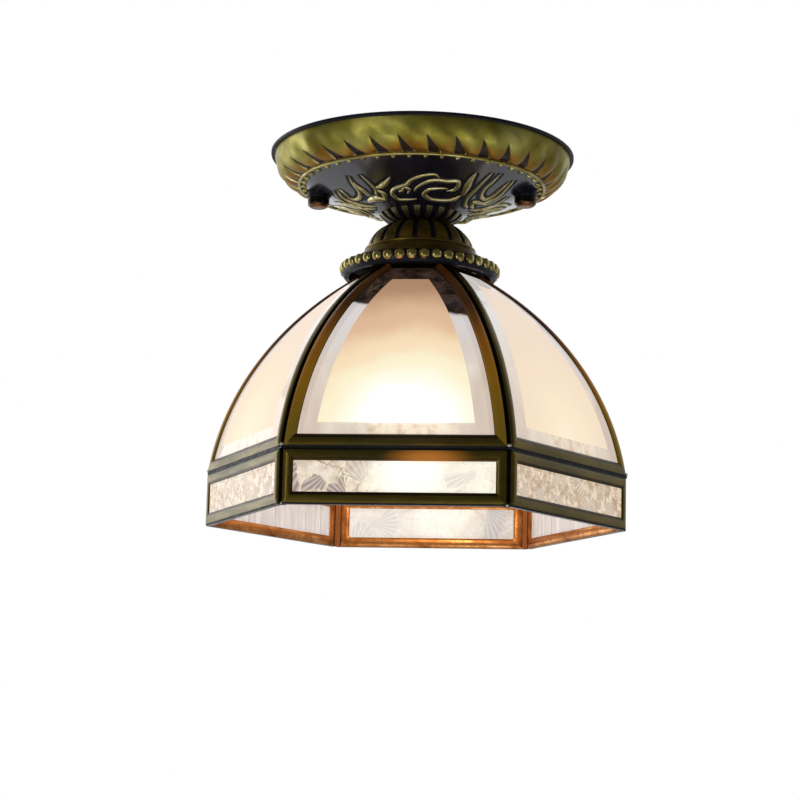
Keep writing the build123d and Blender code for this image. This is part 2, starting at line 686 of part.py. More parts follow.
def holder_body():
    """Insulating cup round the screw shell, with a rolled rim and a floor for the leads and terminals."""
    body = turned([
        (0, holder_shoulder), (holder_radius, holder_shoulder), (holder_radius, holder_bottom),
        (holder_bore, holder_bottom), (holder_bore, holder_floor_bottom), (0, holder_floor_bottom)])
    body += Pos(0, 0, holder_bottom + HOLDER_RIM_BEAD) * Torus(holder_radius, HOLDER_RIM_BEAD)
    lead_y = shell_flange - LEAD_HOLE_DIAMETER
    lead_hole = Cylinder(LEAD_HOLE_DIAMETER / 2, 3 * HOLDER_FLOOR)
    terminal_hole = Cylinder(TERMINAL_DIAMETER / 2, 3 * HOLDER_FLOOR)
    body -= [Pos(0, side * lead_y, holder_shoulder) * lead_hole for side in (-1, 1)]
    return body - [place * terminal_hole for place in terminal_places()]


def screw_shell():
    """Brass sleeve that takes the lamp's base, fixed to the holder's floor by its turned-in top."""
    top = holder_floor_bottom
    flange_under = top - SCREW_SHELL_SHEET
    end = top - SCREW_SHELL_HEIGHT
    return turned([
        (shell_flange, top), (shell_outer, top), (shell_outer, end), (shell_inner, end),
        (shell_inner, flange_under), (shell_flange, flange_under)])


def centre_contact():
    """Sprung bridge under the holder's floor that meets the tip of the lamp."""
    half, rise, sheet = CONTACT_LENGTH / 2, CONTACT_RISE - CONTACT_SHEET, CONTACT_SHEET
    knee = half - CONTACT_FOOT
    land = CONTACT_FOOT
    outline = [
        (-half, 0), (-knee, 0), (-land, -rise), (land, -rise), (knee, 0), (half, 0),
        (half, -sheet), (knee, -sheet), (land, -rise - sheet),
        (-land, -rise - sheet), (-knee, -sheet), (-half, -sheet)]
    strip = make_face(Polyline([Vector(x, 0, holder_floor_bottom + z) for x, z in outline], close=True))
    return extrude(strip, CONTACT_WIDTH / 2, both=True)


def lamp_base():
    """Screw base without its thread: a sleeve whose tapered top carries the tip."""
    radius, sheet = LAMP_BASE_DIAMETER / 2, LAMP_BASE_SHEET
    tip = LAMP_TIP_DIAMETER / 2
    taper = LAMP_BASE_TAPER
    return turned([
        (tip, lamp_base_top), (radius - taper, lamp_base_top), (radius, lamp_base_top - taper),
        (radius, lamp_base_bottom), (radius - sheet, lamp_base_bottom),
        (radius - sheet, lamp_base_top - taper - sheet),
        (radius - taper - sheet, lamp_base_top - sheet), (tip, lamp_base_top - sheet)])


def lamp_contact():
    """Solder tip at the top of the base."""
    rim = LAMP_TIP_DIAMETER / 2 - LAMP_TIP_CLEARANCE
    land = rim - LAMP_TIP_HEIGHT
    under = lamp_base_top - LAMP_BASE_SHEET
    return turned([(0, lamp_tip), (land, lamp_tip), (rim, lamp_base_top), (rim, under), (0, under)])


def lamp_globe():
    """Blown globe whose neck stands inside the base."""
    inner = globe_radius - LAMP_GLASS
    neck = LAMP_BASE_DIAMETER / 2 - LAMP_BASE_SHEET - LAMP_NECK_CLEARANCE
    throat = neck - LAMP_GLASS
    neck_top = lamp_base_bottom + LAMP_NECK_GRIP
    upward = (Align.CENTER, Align.CENTER, Align.MIN)
    ball = Pos(0, 0, globe_centre) * (Sphere(globe_radius) - Sphere(inner))
    ball -= Pos(0, 0, globe_centre) * Cylinder(throat, 2 * globe_radius, align=upward)
    sleeve = tube(2 * neck, 2 * throat, globe_centre + math.sqrt(inner ** 2 - throat ** 2), neck_top)
    return ball + sleeve


def build():
    parts = {
        "canopy": canopy(),
        "mounting_bar": mounting_bar(),
        "canopy_studs": at_studs(stud()),
        "stud_nuts": at_studs(stud_nut()),
        "earth_screw": earth_screw(),
        "cap_nut_left": cap_nut(-1),
        "cap_nut_right": cap_nut(1),
        "stem_tube": tube(STEM_DIAMETER, STEM_BORE, stem_bottom, stem_top),
        "canopy_washer": washer(canopy_floor_top),
        "canopy_lock_nut": stem_nut(top_washer_top),
        "shade_cap": shade_cap(),
        "stem_spacer": tube(SPACER_DIAMETER, stem_hole, crown_floor_top, cap_top - CAP_SHEET),
        "crown_pan": crown_pan(),
        "shade_washer": washer(shade_washer_bottom),
        "shade_lock_nut": stem_nut(shade_nut_bottom),
        "dome_corner_seams": corner_seams(bent_slab),
        "skirt_corner_seams": corner_seams(flat_slab),
        "waist_seam": waist_seam(),
        "lampholder_cap": holder_cap(),
        "lampholder_body": holder_body(),
        "lampholder_screw_shell": screw_shell(),
        "lampholder_contact": centre_contact(),
        "lampholder_terminals": terminal_screws(),
        "lamp_globe": lamp_globe(),
        "lamp_base": lamp_base(),
        "lamp_tip": lamp_contact(),
    }
    repeated = {
        "dome_frame": frame(bent_slab, bent_outer),
        "dome_pane": bevelled_pane(),
        "skirt_frame": frame(flat_slab, flat_outer),
        "skirt_pane": pane(flat_slab),
    }
    for name, shape in repeated.items():
        for number, place in enumerate(panel_places(), start=1):
            parts[f"{name}_{number}"] = place * shape
    return parts


def main():
    os.makedirs("parts", exist_ok=True)
    for name, shape in build().items():
        export_step(shape, f"parts/{name}.step")


if __name__ == "__main__":
    main()
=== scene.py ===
"""Looks of the semi flush ceiling light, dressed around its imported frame.

Sizes are millimetres in the row frame unless a heading says metres: the ceiling is z = 0, the light hangs
below it and one shade panel faces -Y. Points become metres when a mesh is made.
"""

import math
from collections import namedtuple
import bmesh
import bpy
from mathutils import Matrix, Vector


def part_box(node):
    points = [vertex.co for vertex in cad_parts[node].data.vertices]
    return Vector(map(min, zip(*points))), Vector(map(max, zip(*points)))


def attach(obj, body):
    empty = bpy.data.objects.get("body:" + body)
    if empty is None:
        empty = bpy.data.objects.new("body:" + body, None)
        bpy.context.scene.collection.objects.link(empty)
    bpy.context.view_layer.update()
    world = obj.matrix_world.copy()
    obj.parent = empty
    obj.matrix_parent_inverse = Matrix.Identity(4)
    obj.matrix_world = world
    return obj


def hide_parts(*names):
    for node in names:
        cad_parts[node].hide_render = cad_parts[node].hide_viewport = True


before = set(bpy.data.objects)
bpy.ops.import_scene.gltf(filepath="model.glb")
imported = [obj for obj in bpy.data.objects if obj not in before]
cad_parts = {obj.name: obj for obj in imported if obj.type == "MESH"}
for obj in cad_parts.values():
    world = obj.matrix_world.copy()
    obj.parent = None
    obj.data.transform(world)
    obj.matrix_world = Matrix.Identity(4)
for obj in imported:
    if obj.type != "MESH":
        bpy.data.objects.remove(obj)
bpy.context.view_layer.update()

MM = 0.001
FULL_TURN = 2 * math.pi

# Canopy
CANOPY_RADIUS = 80.0
CANOPY_SHEET = 1.2
LIP_HEIGHT = 1.8
LIP_EDGE = 0.4
RIM_START = (78.0, -LIP_HEIGHT)
RING_POINT = (64.5, -16.8)
RIM_BULGE = 3.4
RING_WIRE = 1.8
RING_DROP = 0.45
COLLAR_POINT = (21.8, -32.2)
COLLAR_BULGE = 0.9
FLOOR_POINT = (12.5, -37.2)
STEM_HOLE_RADIUS = 5.15
GADROONS = 32
GADROON_RISE = 0.9
GADROON_FOOT = 4.0
GADROON_FULLNESS = 0.8
GADROON_FADE = (0.55, 0.97)
NOTCH_START = 1.3
NOTCH_LENGTH = 11.2
NOTCH_TIP = NOTCH_START + NOTCH_LENGTH
NOTCH_WIDTH = 6.6
NOTCH_TAPER = 0.85
NOTCH_TIP_HALF = 0.2
NOTCH_SWIRL = 4.8
NOTCH_CURL = 1.15
NOTCH_DEPTH = 0.7
NOTCH_EDGE = 0.3
NOTCH_RUNOUT = 1.6
NOTCH_SOFTENING = (-2.0, 1.5)
NOTCH_FLOOR_SHARE = 0.88
CANOPY_BEADS = 48
CANOPY_BEAD_SIZE = (1.9, 1.05, 1.3)
CANOPY_BEAD_CIRCLE = 62.3
COLLAR_RIBS = 20
GROOVE_PITCH_SHARE = 0.25
COLLAR_GROOVE_DEPTH = 0.8
COLLAR_RIB_RISE = 0.4
COLLAR_RIB_LEAD = 0.15
PAD_RADIUS = 6.0
PAD_EDGE = 0.5

# Scroll relief of the canopy's cone: each stroke is a list of (radius, degrees to the right of the near
# side), with its half width at the start, middle and end
SCROLL_STROKES = [
    ([(27, -5), (26.5, -16), (27.5, -26), (32.5, -28), (36.5, -22), (39, -12), (43, -7), (46, 0), (47.5, 7),
      (45, 11)], (0.6, 1.1, 0.6)),
    ([(34, -18), (36.5, -14), (34.5, -11), (31, -14)], (0.5, 0.8, 0.4)),
    ([(33, -7), (36.5, -4), (40.5, 2), (43, 9), (43, 17), (44, 24), (40, 27), (36.5, 26), (35, 21)],
     (0.6, 1.1, 0.7)),
    ([(37, 21), (36.5, 14), (35, 6), (31, 2), (27.5, 8), (27, 21), (29, 33), (33.5, 37)], (0.6, 1.1, 1.0)),
    ([(33.5, 38), (39, 35), (46, 32), (53, 31)], (0.9, 1.5, 0.4)),
    ([(39, -38), (39.5, -32), (42, -26), (46, -21)], (0.6, 1.5, 0.3)),
    ([(51, -39), (45.5, -39), (41, -39), (37, -40), (33, -45)], (0.3, 0.6, 0.8)),
    ([(47, -50), (43, -51), (38.5, -51), (34, -52)], (0.4, 0.8, 0.7)),
    ([(52, -47), (45, -52), (38.5, -57), (35.5, -68), (38, -75), (42.5, -71), (47, -69)], (0.4, 0.9, 0.4)),
    ([(46.5, -72), (42, -80), (36.5, -83), (31.5, -79), (26, -65)], (0.4, 0.9, 0.6)),
    ([(48, -77), (43.5, -87), (38, -93), (31, -88), (25, -72)], (0.4, 0.8, 0.6)),
    ([(31, -64), (31.5, -53), (30.5, -46), (27.5, -41)], (0.8, 1.7, 0.7)),
    ([(37, -39), (34, -36), (30.5, -38), (28, -42)], (0.6, 1.2, 0.6)),
    ([(55.5, 40), (48, 41), (40, 43), (33.5, 45), (28.5, 52), (27, 63)], (0.4, 0.8, 0.8)),
    ([(57, 45), (49, 47), (42, 49), (37.5, 55), (37, 64), (41, 64), (47.5, 60), (54, 57)], (0.4, 0.9, 0.4)),
    ([(56, 58), (49, 63), (42.5, 69), (36.5, 71), (33, 67)], (0.4, 0.8, 0.6)),
    ([(28.5, 73), (29.5, 62), (32.5, 59), (33.5, 67), (35, 76)], (0.5, 1.0, 0.5)),
    ([(26.5, 72), (30, 81), (35.5, 86), (40.5, 83), (46.5, 77)], (0.5, 0.9, 0.4)),
    ([(24.5, 88), (29.5, 93), (35, 97), (40, 96)], (0.5, 0.9, 0.4)),
]
SCROLL_BUTTON = (33.9, -18.6)
SCROLL_BUTTON_SIZE = (1.4, 1.4, 0.9)
SCROLL_HEIGHT_SHARE = 0.75
SCROLL_WIDTH_SHARE = 1.3
SCROLL_TIP_SHARE = 0.25
SCROLL_TIP_GROWTH = 8
SCROLL_SINK = 0.05
SIDE_SCROLL_SWELL = 0.15
SIDE_SCROLL_DEGREES = (36, 60)
RECESS_MARGIN = 1.8
RECESS_LIFT = 0.04
SCROLL_REPEATS = 2

# Shade cap
CAP_SHEET = 1.2
CAP_CROWN_POINT = (11.0, -37.2)
CAP_DOME_POINT = (27.8, -51.0)
CAP_DOME_BULGE = 3.4
CAP_RIDGE = 1.4
CAP_LEDGE_POINT = (38.44, -59.6)
CAP_LEDGE_HOLLOW = 0.7
CAP_RIM_BOTTOM = -66.8
CAP_RIM_LAND = 1.0
CAP_BAND_SWELL = 1.5
CAP_FLUTES = 18
CAP_FLUTE_WIDTH = 2.6
CAP_FLUTE_DEPTH = 0.75
CAP_LOBE_RISE = 0.5
CAP_LOBE_FULLNESS = 0.7
CAP_LOBE_RUNOUT = 1 / 8
CAP_BEADS = 40
CAP_BEAD_SIZE = (1.8, 2.85, 2.65)
CAP_BEAD_LIFT = 0.75

# Shade
SIDES = 6
FIRST_PANEL_AZIMUTH = -90.0
SHADE_APOTHEM = 95.3
DOME_FOOT = (SHADE_APOTHEM, -170.3)
DOME_HEAD = (26.0, -63.6)
DOME_FOOT_LEAN = 7.2
SKIRT_BOTTOM = -198.0
SKIRT_TOP = -171.0
FRAME_DEPTH = 4.4
FRAME_FACE = 5.9
CROSS_RAIL_FACE = 7.2
RAIL_OUTER_DROP = 0.9
RAIL_INNER_DROP = 1.8
RAIL_BACK_DROP = -1.1
RAIL_ROUNDNESS = 2.6
CORNER_SEAM = 3.2
SEAM_FACE_DEPTH = 2.9
SEAM_BACK_DEPTH = 4.0
PANE_SKIN = 0.7
BEVEL_WIDTH = 8.0
BEVEL_LIMIT = 0.85
FOOT_BEVEL_WIDTH = 5.2
HEAD_BORDER = 21.0
BEVEL_DEPTH = 0.8
GLOW_Z = -158.0
FROST_REACH = 100.0
FROST_GLOW = 0.97
FLAKE_SHIFT = -6.5
FLAKE_RIBS = 32.0
SIDE_GLOW_SHARE = 0.62
# Even glow of lamplight painted over the glue-chip glass
CHIPPED_GLOW = 0.82
DROP_RADIUS = 0.8
DROP_STRETCH = 1.5
WAIST_DROP = {"depth": 1.4, "z": DOME_FOOT[1] + 1.2}
FOOT_DROP = {"depth": SEAM_FACE_DEPTH - 0.3, "z": SKIRT_BOTTOM + DROP_RADIUS}

# Camera, solved from the photograph
CAMERA_DISTANCE = 1092.4
CAMERA_Z = -324.5
CAMERA_SIDE = -8.7
CAMERA_PITCH_DEG = 10.04
CAMERA_ROLL_DEG = 1.42
CAMERA_YAW_DEG = 6.5
FOCAL_PIXELS = 2135.7
IMAGE_PIXELS = 800
SENSOR_WIDTH = 36.0
CAMERA_RANGE = (10.0, 50000.0)

# Fineness of the meshes
ROUND_COLUMNS = 192
WIRE_COLUMNS = 288
BAND_COLUMNS = 168
HIDDEN_COLUMNS = 96
PAD_COLUMNS = 40
LOBE_STEPS, NOTCH_STEPS, GROOVE_STEPS = 7, 4, 3
RAIL_STEPS, RAIL_OUTER_STEPS, RAIL_COLUMNS = 8, 5, 13
SCROLL_STEPS, SCROLL_SECTIONS = 7, 8
SKIRT_ROWS, SKIRT_COLUMNS = 8, 24


# Mesh tools
def polar(radius, angle, z):
    return (radius * math.cos(angle), radius * math.sin(angle), z)


def spread(low, high, count):
    return [low + (high - low) * i / (count - 1) for i in range(count)]


def edged(low, low_edge, high, high_edge, count):
    """Values from low to high: at each end those of an edge, given as distances from it, and count even
    ones from edge to edge."""
    middle = spread(low + low_edge[-1], high - high_edge[-1], count)[1:-1]
    return [low + d for d in low_edge] + middle + [high - d for d in reversed(high_edge)]


def smooth(value, low, high):
    """Smooth step of a value from 0 at low to 1 at high."""
    share = min(max((value - low) / (high - low), 0.0), 1.0)
    return share * share * (3 - 2 * share)


def arc(centre, radius, start, end, count):
    """(radius, z) points of an arc of a profile."""
    x, z = centre
    return [(x + radius * math.cos(turn), z + radius * math.sin(turn)) for turn in spread(start, end, count)]


def ring_rows(profile, columns):
    """Rows of a plain turned surface from its (radius, z) corners."""
    return [[polar(r, FULL_TURN * j / columns, z) for j in range(columns)] for r, z in profile]


class Relief:
    """Collects sheets of quads in millimetres and makes one object of them."""

    def __init__(self, name):
        self.name = name
        self.points = []
        self.faces = []
        self.face_slots = []
        self.slots = {}

    def sheet(self, rows, material, closed=False, crossed=None):
        """Adds rows of points as quads.
        material is one material, or a function of (row, column) that gives one, or None for an open cell.
        crossed(row, column) is true for quads that bend along their second diagonal."""
        first = len(self.points)
        width = len(rows[0])
        for row in rows:
            self.points.extend(row)
        for i in range(len(rows) - 1):
            for j in range(width if closed else width - 1):
                chosen = material(i, j) if callable(material) else material
                if chosen is None:
                    continue
                low, high, after = first + i * width, first + (i + 1) * width, (j + 1) % width
                corners = (low + j, low + after, high + after, high + j)
                if crossed and crossed(i, j):
                    corners = corners[1:] + corners[:1]
                self.faces.append(corners)
                self.face_slots.append(self.slots.setdefault(chosen, len(self.slots)))

    def turned(self, profile, material, columns=ROUND_COLUMNS):
        self.sheet(ring_rows(profile, columns), material, closed=True)

    def ball(self, centre, size, material, turn=0.0, around=12, rings=8):
        """Ellipsoid with half sizes along its own axes, turned about Z."""
        stretched = Matrix.Rotation(turn, 4, "Z") @ Matrix.Diagonal((*size, 1.0))
        placed = Matrix.Translation(centre) @ stretched
        unit = ring_rows(arc((0, 0), 1, -math.pi / 2, math.pi / 2, rings + 1), around)
        self.sheet([[tuple(placed @ Vector(p)) for p in row] for row in unit], material, closed=True)

    def ball_ring(self, count, radius, z, size, material):
        for i in range(count):
            angle = FULL_TURN * i / count
            self.ball(polar(radius, angle, z), size, material, turn=angle)

    def make(self, sharp_deg=38.0, merge=0.002):
        mesh = bpy.data.meshes.new(self.name)
        mesh.from_pydata([Vector(p) * MM for p in self.points], [], self.faces)
        for material in self.slots:
            mesh.materials.append(material)
        mesh.polygons.foreach_set("material_index", self.face_slots)
        mesh.polygons.foreach_set("use_smooth", [True] * len(mesh.polygons))
        work = bmesh.new()
        work.from_mesh(mesh)
        bmesh.ops.remove_doubles(work, verts=work.verts, dist=merge * MM)
        bmesh.ops.recalc_face_normals(work, faces=work.faces)
        work.to_mesh(mesh)
        work.free()
        mesh.set_sharp_from_angle(angle=math.radians(sharp_deg))
        made = bpy.data.objects.new(self.name, mesh)
        bpy.context.collection.objects.link(made)
        return made


def bulged(start, end, bulge):
    """Function of a share 0 to 1 along an arc from start to end that stands bulge to the left of the way.
    It gives (radius, z) and the normal that points to the left."""
    run, rise = end[0] - start[0], end[1] - start[1]
    chord = math.hypot(run, rise)
    along = (run / chord, rise / chord)
    across = (-along[1], along[0])
    middle = ((start[0] + end[0]) / 2, (start[1] + end[1]) / 2)

    def straight(share):
        return (start[0] + run * share, start[1] + rise * share), across

    def curved(share):
        radius = (chord ** 2 / 4 + bulge ** 2) / (2 * bulge)
        half = math.asin(chord / 2 / abs(radius))
        turn = half * (2 * share - 1) * math.copysign(1, bulge)
        normal = tuple(across[i] * math.cos(turn) + along[i] * math.sin(turn) for i in (0, 1))
        centre = tuple(middle[i] + across[i] * (bulge - radius) for i in (0, 1))
        return tuple(centre[i] + radius * normal[i] for i in (0, 1)), normal

    return curved if bulge else straight


def path_points(path, count):
    return [path(share)[0] for share in spread(0, 1, count)]


def sector_rows(path, shares, count, columns_of):
    """Rows of a surface that repeats count times round the axis.
    columns_of(share, pitch) gives (offset along the arc, height along the normal) for one sector."""
    rows = []
    for share in shares:
        (radius, z), (out_r, out_z) = path(share)
        pitch = FULL_TURN * radius / count
        row = []
        for sector in range(count):
            for offset, height in columns_of(share, pitch):
                angle = FULL_TURN * sector / count + offset / radius
                row.append(polar(radius + out_r * height, angle, z + out_z * height))
        rows.append(row)
    return rows


def fluted(relief, path, metal, count, stations, lobe_steps, widest, floor_share, height, depth):
    """Turned surface of lobes parted by black grooves, with a half width up to widest.
    height(share of the path, crest from 0 to 1) is that of a lobe and depth(share) that of a groove."""
    def columns(share, pitch):
        half_groove = min(widest, GROOVE_PITCH_SHARE * pitch)
        edge, floor_half = pitch / 2 - half_groove, floor_share * half_groove
        lobe = spread(-edge, edge, lobe_steps + 1)
        crown = [(x, height(share, math.cos(math.pi * x / pitch))) for x in lobe]
        floor_line = spread(pitch / 2 - floor_half, pitch / 2 + floor_half, GROOVE_STEPS)
        return crown + [(x, -depth(share)) for x in floor_line]

    rows = sector_rows(path, spread(0, 1, stations), count, columns)
    width = len(rows[0]) // count
    relief.sheet(rows, lambda _, j: metal if j % width < lobe_steps else MATT_BLACK, closed=True)


# Shader tools
class Nodes:
    """A node tree and short ways to add nodes to it."""

    def __init__(self, tree):
        self.tree = tree

    def feed(self, socket, value):
        """Links a socket to an output, or sets a plain value on it."""
        if isinstance(value, bpy.types.NodeSocket):
            self.tree.links.new(value, socket)
        elif socket.type == "RGBA":
            socket.default_value = (*value[:3], 1.0)
        else:
            socket.default_value = value

    def node(self, kind, inputs, output=0, **settings):
        """Adds a node, feeds its inputs and gives one of its outputs."""
        made = self.tree.nodes.new(kind)
        for key, value in settings.items():
            setattr(made, key, value)
        for key, value in inputs.items():
            self.feed(made.inputs[key], value)
        return made.outputs[output]

    def math(self, operation, a, b=0.0, c=0.0):
        return self.node("ShaderNodeMath", {0: a, 1: b, 2: c}, operation=operation)

    def vector(self, operation, a, b=(0, 0, 0)):
        output = "Value" if operation == "LENGTH" else "Vector"
        return self.node("ShaderNodeVectorMath", {0: a, 1: b}, output, operation=operation)

    def axis(self, vector, name):
        return self.node("ShaderNodeSeparateXYZ", {0: vector}, name)

    def band(self, value, low, high, out_low=0.0, out_high=1.0):
        """Smooth step of a value from low to high."""
        inputs = {"Value": value, "From Min": low, "From Max": high, "To Min": out_low, "To Max": out_high}
        return self.node("ShaderNodeMapRange", inputs, "Result", interpolation_type="SMOOTHSTEP")


class Shade(Nodes):
    """A material with one Principled shader."""

    MIX_A, MIX_B, MIX_RESULT = 6, 7, 2
    PATTERN_RANGE = (0.3, 0.7)

    def __init__(self, name, **sockets):
        self.material = bpy.data.materials.new(name)
        self.material.use_nodes = True
        super().__init__(self.material.node_tree)
        self.shader = self.tree.nodes["Principled BSDF"]
        self.place = self.node("ShaderNodeTexCoord", {}, "Object")
        self.set(**sockets)

    def set(self, **links):
        for key, value in links.items():
            self.feed(self.shader.inputs[key.replace("_", " ")], value)

    def surface(self, tone, pattern, rough, grain, strength, height, **sockets):
        """Sets colour, roughness that follows a pattern, and bumps of a grain."""
        roughness = self.band(pattern, *self.PATTERN_RANGE, *rough)
        self.set(Base_Color=tone, Roughness=roughness, Normal=self.bump(grain, strength, height), **sockets)
        return self.material

    def noise(self, scale, detail=4.0, roughness=0.55, distortion=0.0, stretch=None, output="Fac"):
        """Noise whose features are about 1 / scale metres, drawn out along an axis with a low stretch."""
        place = self.vector("MULTIPLY", self.place, stretch) if stretch else self.place
        inputs = {
            "Vector": place, "Scale": scale, "Detail": detail, "Roughness": roughness,
            "Distortion": distortion}
        return self.node("ShaderNodeTexNoise", inputs, output)

    def along(self, axis):
        """Place along one axis, in millimetres."""
        return self.math("DIVIDE", self.axis(self.place, axis), MM)

    def distance(self, spot, weights):
        """Distance in millimetres from a spot, with each axis stretched by its weight."""
        away = self.vector("SUBTRACT", self.place, Vector(spot) * MM)
        return self.vector("LENGTH", self.vector("MULTIPLY", away, Vector(weights) / MM))

    def radius(self):
        return self.distance((0, 0, 0), (1, 1, 0))

    def shifted(self, value, pattern, reach):
        """A value in millimetres made uneven by a pattern times its reach."""
        return self.math("MULTIPLY_ADD", pattern, reach, value)

    def ramp(self, factor, stops, easing="LINEAR"):
        """Colour ramp from (position, colour) stops."""
        colour = self.node("ShaderNodeValToRGB", {"Fac": factor}, "Color")
        bar = colour.node.color_ramp
        bar.interpolation = easing
        while len(bar.elements) < len(stops):
            bar.elements.new(0.5)
        for mark, (position, tone) in zip(bar.elements, stops):
            mark.position = position
            mark.color = (*tone, 1.0)
        return colour

    def mix(self, factor, a, b):
        inputs = {"Factor": factor, self.MIX_A: a, self.MIX_B: b}
        return self.node("ShaderNodeMix", inputs, self.MIX_RESULT, data_type="RGBA")

    def bump(self, grain, strength, height):
        inputs = {"Strength": strength, "Distance": height * MM, "Height": grain}
        return self.node("ShaderNodeBump", inputs, "Normal")


# Metals and insulator
def antique_metal(name, tones, scale, rough, lamplight_spot=None):
    """Aged metal: slow patches of three tones, light to dark, fine wear, and roughness that follows them.
    A painted glow of the lamplight that leaks past the shade's crown can warm it round one spot."""
    light, mid, dark = tones
    shade = Shade(name, Metallic=0.9)
    patches = shade.noise(scale, detail=5.0, distortion=0.4)
    tone = shade.ramp(patches, [(0.30, dark), (0.48, mid), (0.66, light)], "EASE")
    fine = shade.noise(900.0, detail=3.0)
    worn = shade.mix(shade.band(fine, 0.55, 0.75, 0.0, 0.35), tone, light)
    # Painted glow of lamplight round the spot
    if lamplight_spot:
        away = shade.distance(lamplight_spot, (1.0, 0.5, 8.0))
        shade.set(Emission_Color=(1.0, 0.45, 0.16), Emission_Strength=shade.band(away, 4.0, 17.0, 0.7, 0.0))
    return shade.surface(worn, patches, rough, fine, 0.12, 0.2)


def rim_gold():
    """Canopy rim: amber between the notches, olive gold towards the lip, in soft clouds."""
    shade = Shade("rim_gold", Metallic=1.0)
    clouds = shade.noise(45.0, distortion=0.3)
    amber = shade.ramp(clouds, [(0.35, (0.22, 0.10, 0.012)), (0.65, (0.40, 0.225, 0.04))])
    olive = shade.ramp(clouds, [
        (0.32, (0.14, 0.112, 0.012)), (0.52, (0.25, 0.218, 0.038)), (0.7, (0.39, 0.355, 0.10))])
    amber_radius, olive_radius = 73.5, 79.5
    outward = shade.band(shade.shifted(shade.radius(), clouds, 10.0), amber_radius, olive_radius)
    fine = shade.noise(900.0, detail=3.0)
    return shade.surface(shade.mix(outward, amber, olive), clouds, (0.52, 0.38), fine, 0.1, 0.2)


def black_patina(name, gloss, rough):
    """Blackened metal with a faint blue sheen and small pits, under a clear coat as strong as its gloss."""
    shade = Shade(name, Specular_IOR_Level=gloss, Coat_Weight=gloss, Coat_Roughness=0.14)
    clouds = shade.noise(45.0, detail=5.0)
    tone = shade.ramp(clouds, [(0.35, (0.002, 0.002, 0.005)), (0.7, (0.010, 0.009, 0.019))])
    pits = shade.noise(1400.0, detail=2.0)
    return shade.surface(tone, clouds, (rough, rough + 0.12), pits, 0.15, 0.1)


def one_noise(name, noise, stops, rough, strength, height, **sockets):
    """Surface whose colour, roughness and bumps all follow one noise."""
    shade = Shade(name, **sockets)
    worn = shade.noise(**noise)
    return shade.surface(shade.ramp(worn, stops), worn, rough, worn, strength, height)


def plain_metal(name, light, dark, rough, stretch):
    """Machined or plated metal with fine turning lines."""
    lines = {"scale": 700.0, "detail": 3.0, "stretch": stretch}
    stops = [(0.35, dark), (0.65, light)]
    return one_noise(name, lines, stops, (rough - 0.08, rough + 0.1), 0.12, 0.1, Metallic=1.0)


def rail_metal(name, tones, coat, lit=None):
    """Outer face of the channel: dark lacquered metal, which a painted glow of lamplight at the waist
    can warm.
    """
    light, mid, dark = tones
    shade = Shade(name, Metallic=0.85, Coat_Weight=coat, Coat_Roughness=0.22)
    brushed = shade.noise(500.0, detail=3.0, stretch=(1.0, 0.1, 1.0))
    tone = shade.ramp(shade.noise(30.0), [(0.32, dark), (0.55, mid), (0.75, light)])
    # Painted glow of lamplight round a spot at the waist
    if lit:
        waist = shade.distance((SHADE_APOTHEM, 16.0, SKIRT_TOP - 4.5), (0.5, 0.48, 1.6))
        shade.set(Emission_Color=(1.0, 0.33, 0.05), Emission_Strength=shade.band(waist, 1.0, 12.0, lit, 0.0))
    return shade.surface(tone, brushed, (0.26, 0.40), brushed, 0.08, 0.1)


def rail_lamplit():
    """Upright rails of the dome: lacquered metal in a painted glow of the lamp's light through the glass,
    with painted shade that turns it brown at the crown.
    """
    shade = Shade("rail_lamplit", Metallic=0.85, Coat_Weight=0.2, Coat_Roughness=0.25)
    brushed = shade.noise(500.0, detail=3.0, stretch=(1.0, 1.0, 0.1))
    level = shade.shifted(shade.along("Z"), shade.noise(40.0, detail=3.0), 12.0)
    foot_level, crown_level = -165.0, -68.0
    tone = shade.ramp(shade.band(level, foot_level, crown_level), [
        (0.0, (0.105, 0.066, 0.005)), (0.3, (0.17, 0.080, 0.004)), (0.62, (0.15, 0.056, 0.004)),
        (0.92, (0.035, 0.011, 0.002))])
    return shade.surface(
        tone, brushed, (0.28, 0.42), brushed, 0.08, 0.1, Emission_Color=tone, Emission_Strength=0.75)


def solder(name, dark, light, metallic, inner=None):
    """Lumpy solder, which can have another tone on the side that faces into the skirt."""
    shade = Shade(name, Metallic=metallic, Specular_IOR_Level=0.15)
    lumps = shade.noise(260.0, detail=3.0)
    tone = shade.ramp(lumps, [(0.35, dark), (0.72, light)])
    if inner:
        inner_radius, outer_radius = 105.5, 106.5
        tone = shade.mix(shade.band(shade.radius(), inner_radius, outer_radius), inner, tone)
    return shade.surface(tone, lumps, (0.35, 0.55), lumps, 0.5, 0.6)


def nut_bronze(seat):
    """Cap nuts: bronze and copper on the rounded end, with painted shade that turns them black where they
    meet the canopy.
    """
    shade = Shade("nut_bronze", Metallic=0.9)
    worn = shade.noise(300.0)
    level = shade.shifted(shade.along("Z"), worn, 1.6)
    bronze = shade.ramp(worn, [(0.35, (0.15, 0.065, 0.024)), (0.65, (0.32, 0.15, 0.06))])
    # Black towards the canopy: painted shade
    tone = shade.mix(shade.band(level, seat - 4.6, seat - 2.0), bronze, (0.022, 0.014, 0.009))
    return shade.surface(tone, worn, (0.32, 0.18), worn, 0.1, 0.2)


# Glass and lamp
BLACK, MID_GREY = (0.0, 0.0, 0.0), (0.5, 0.5, 0.5)
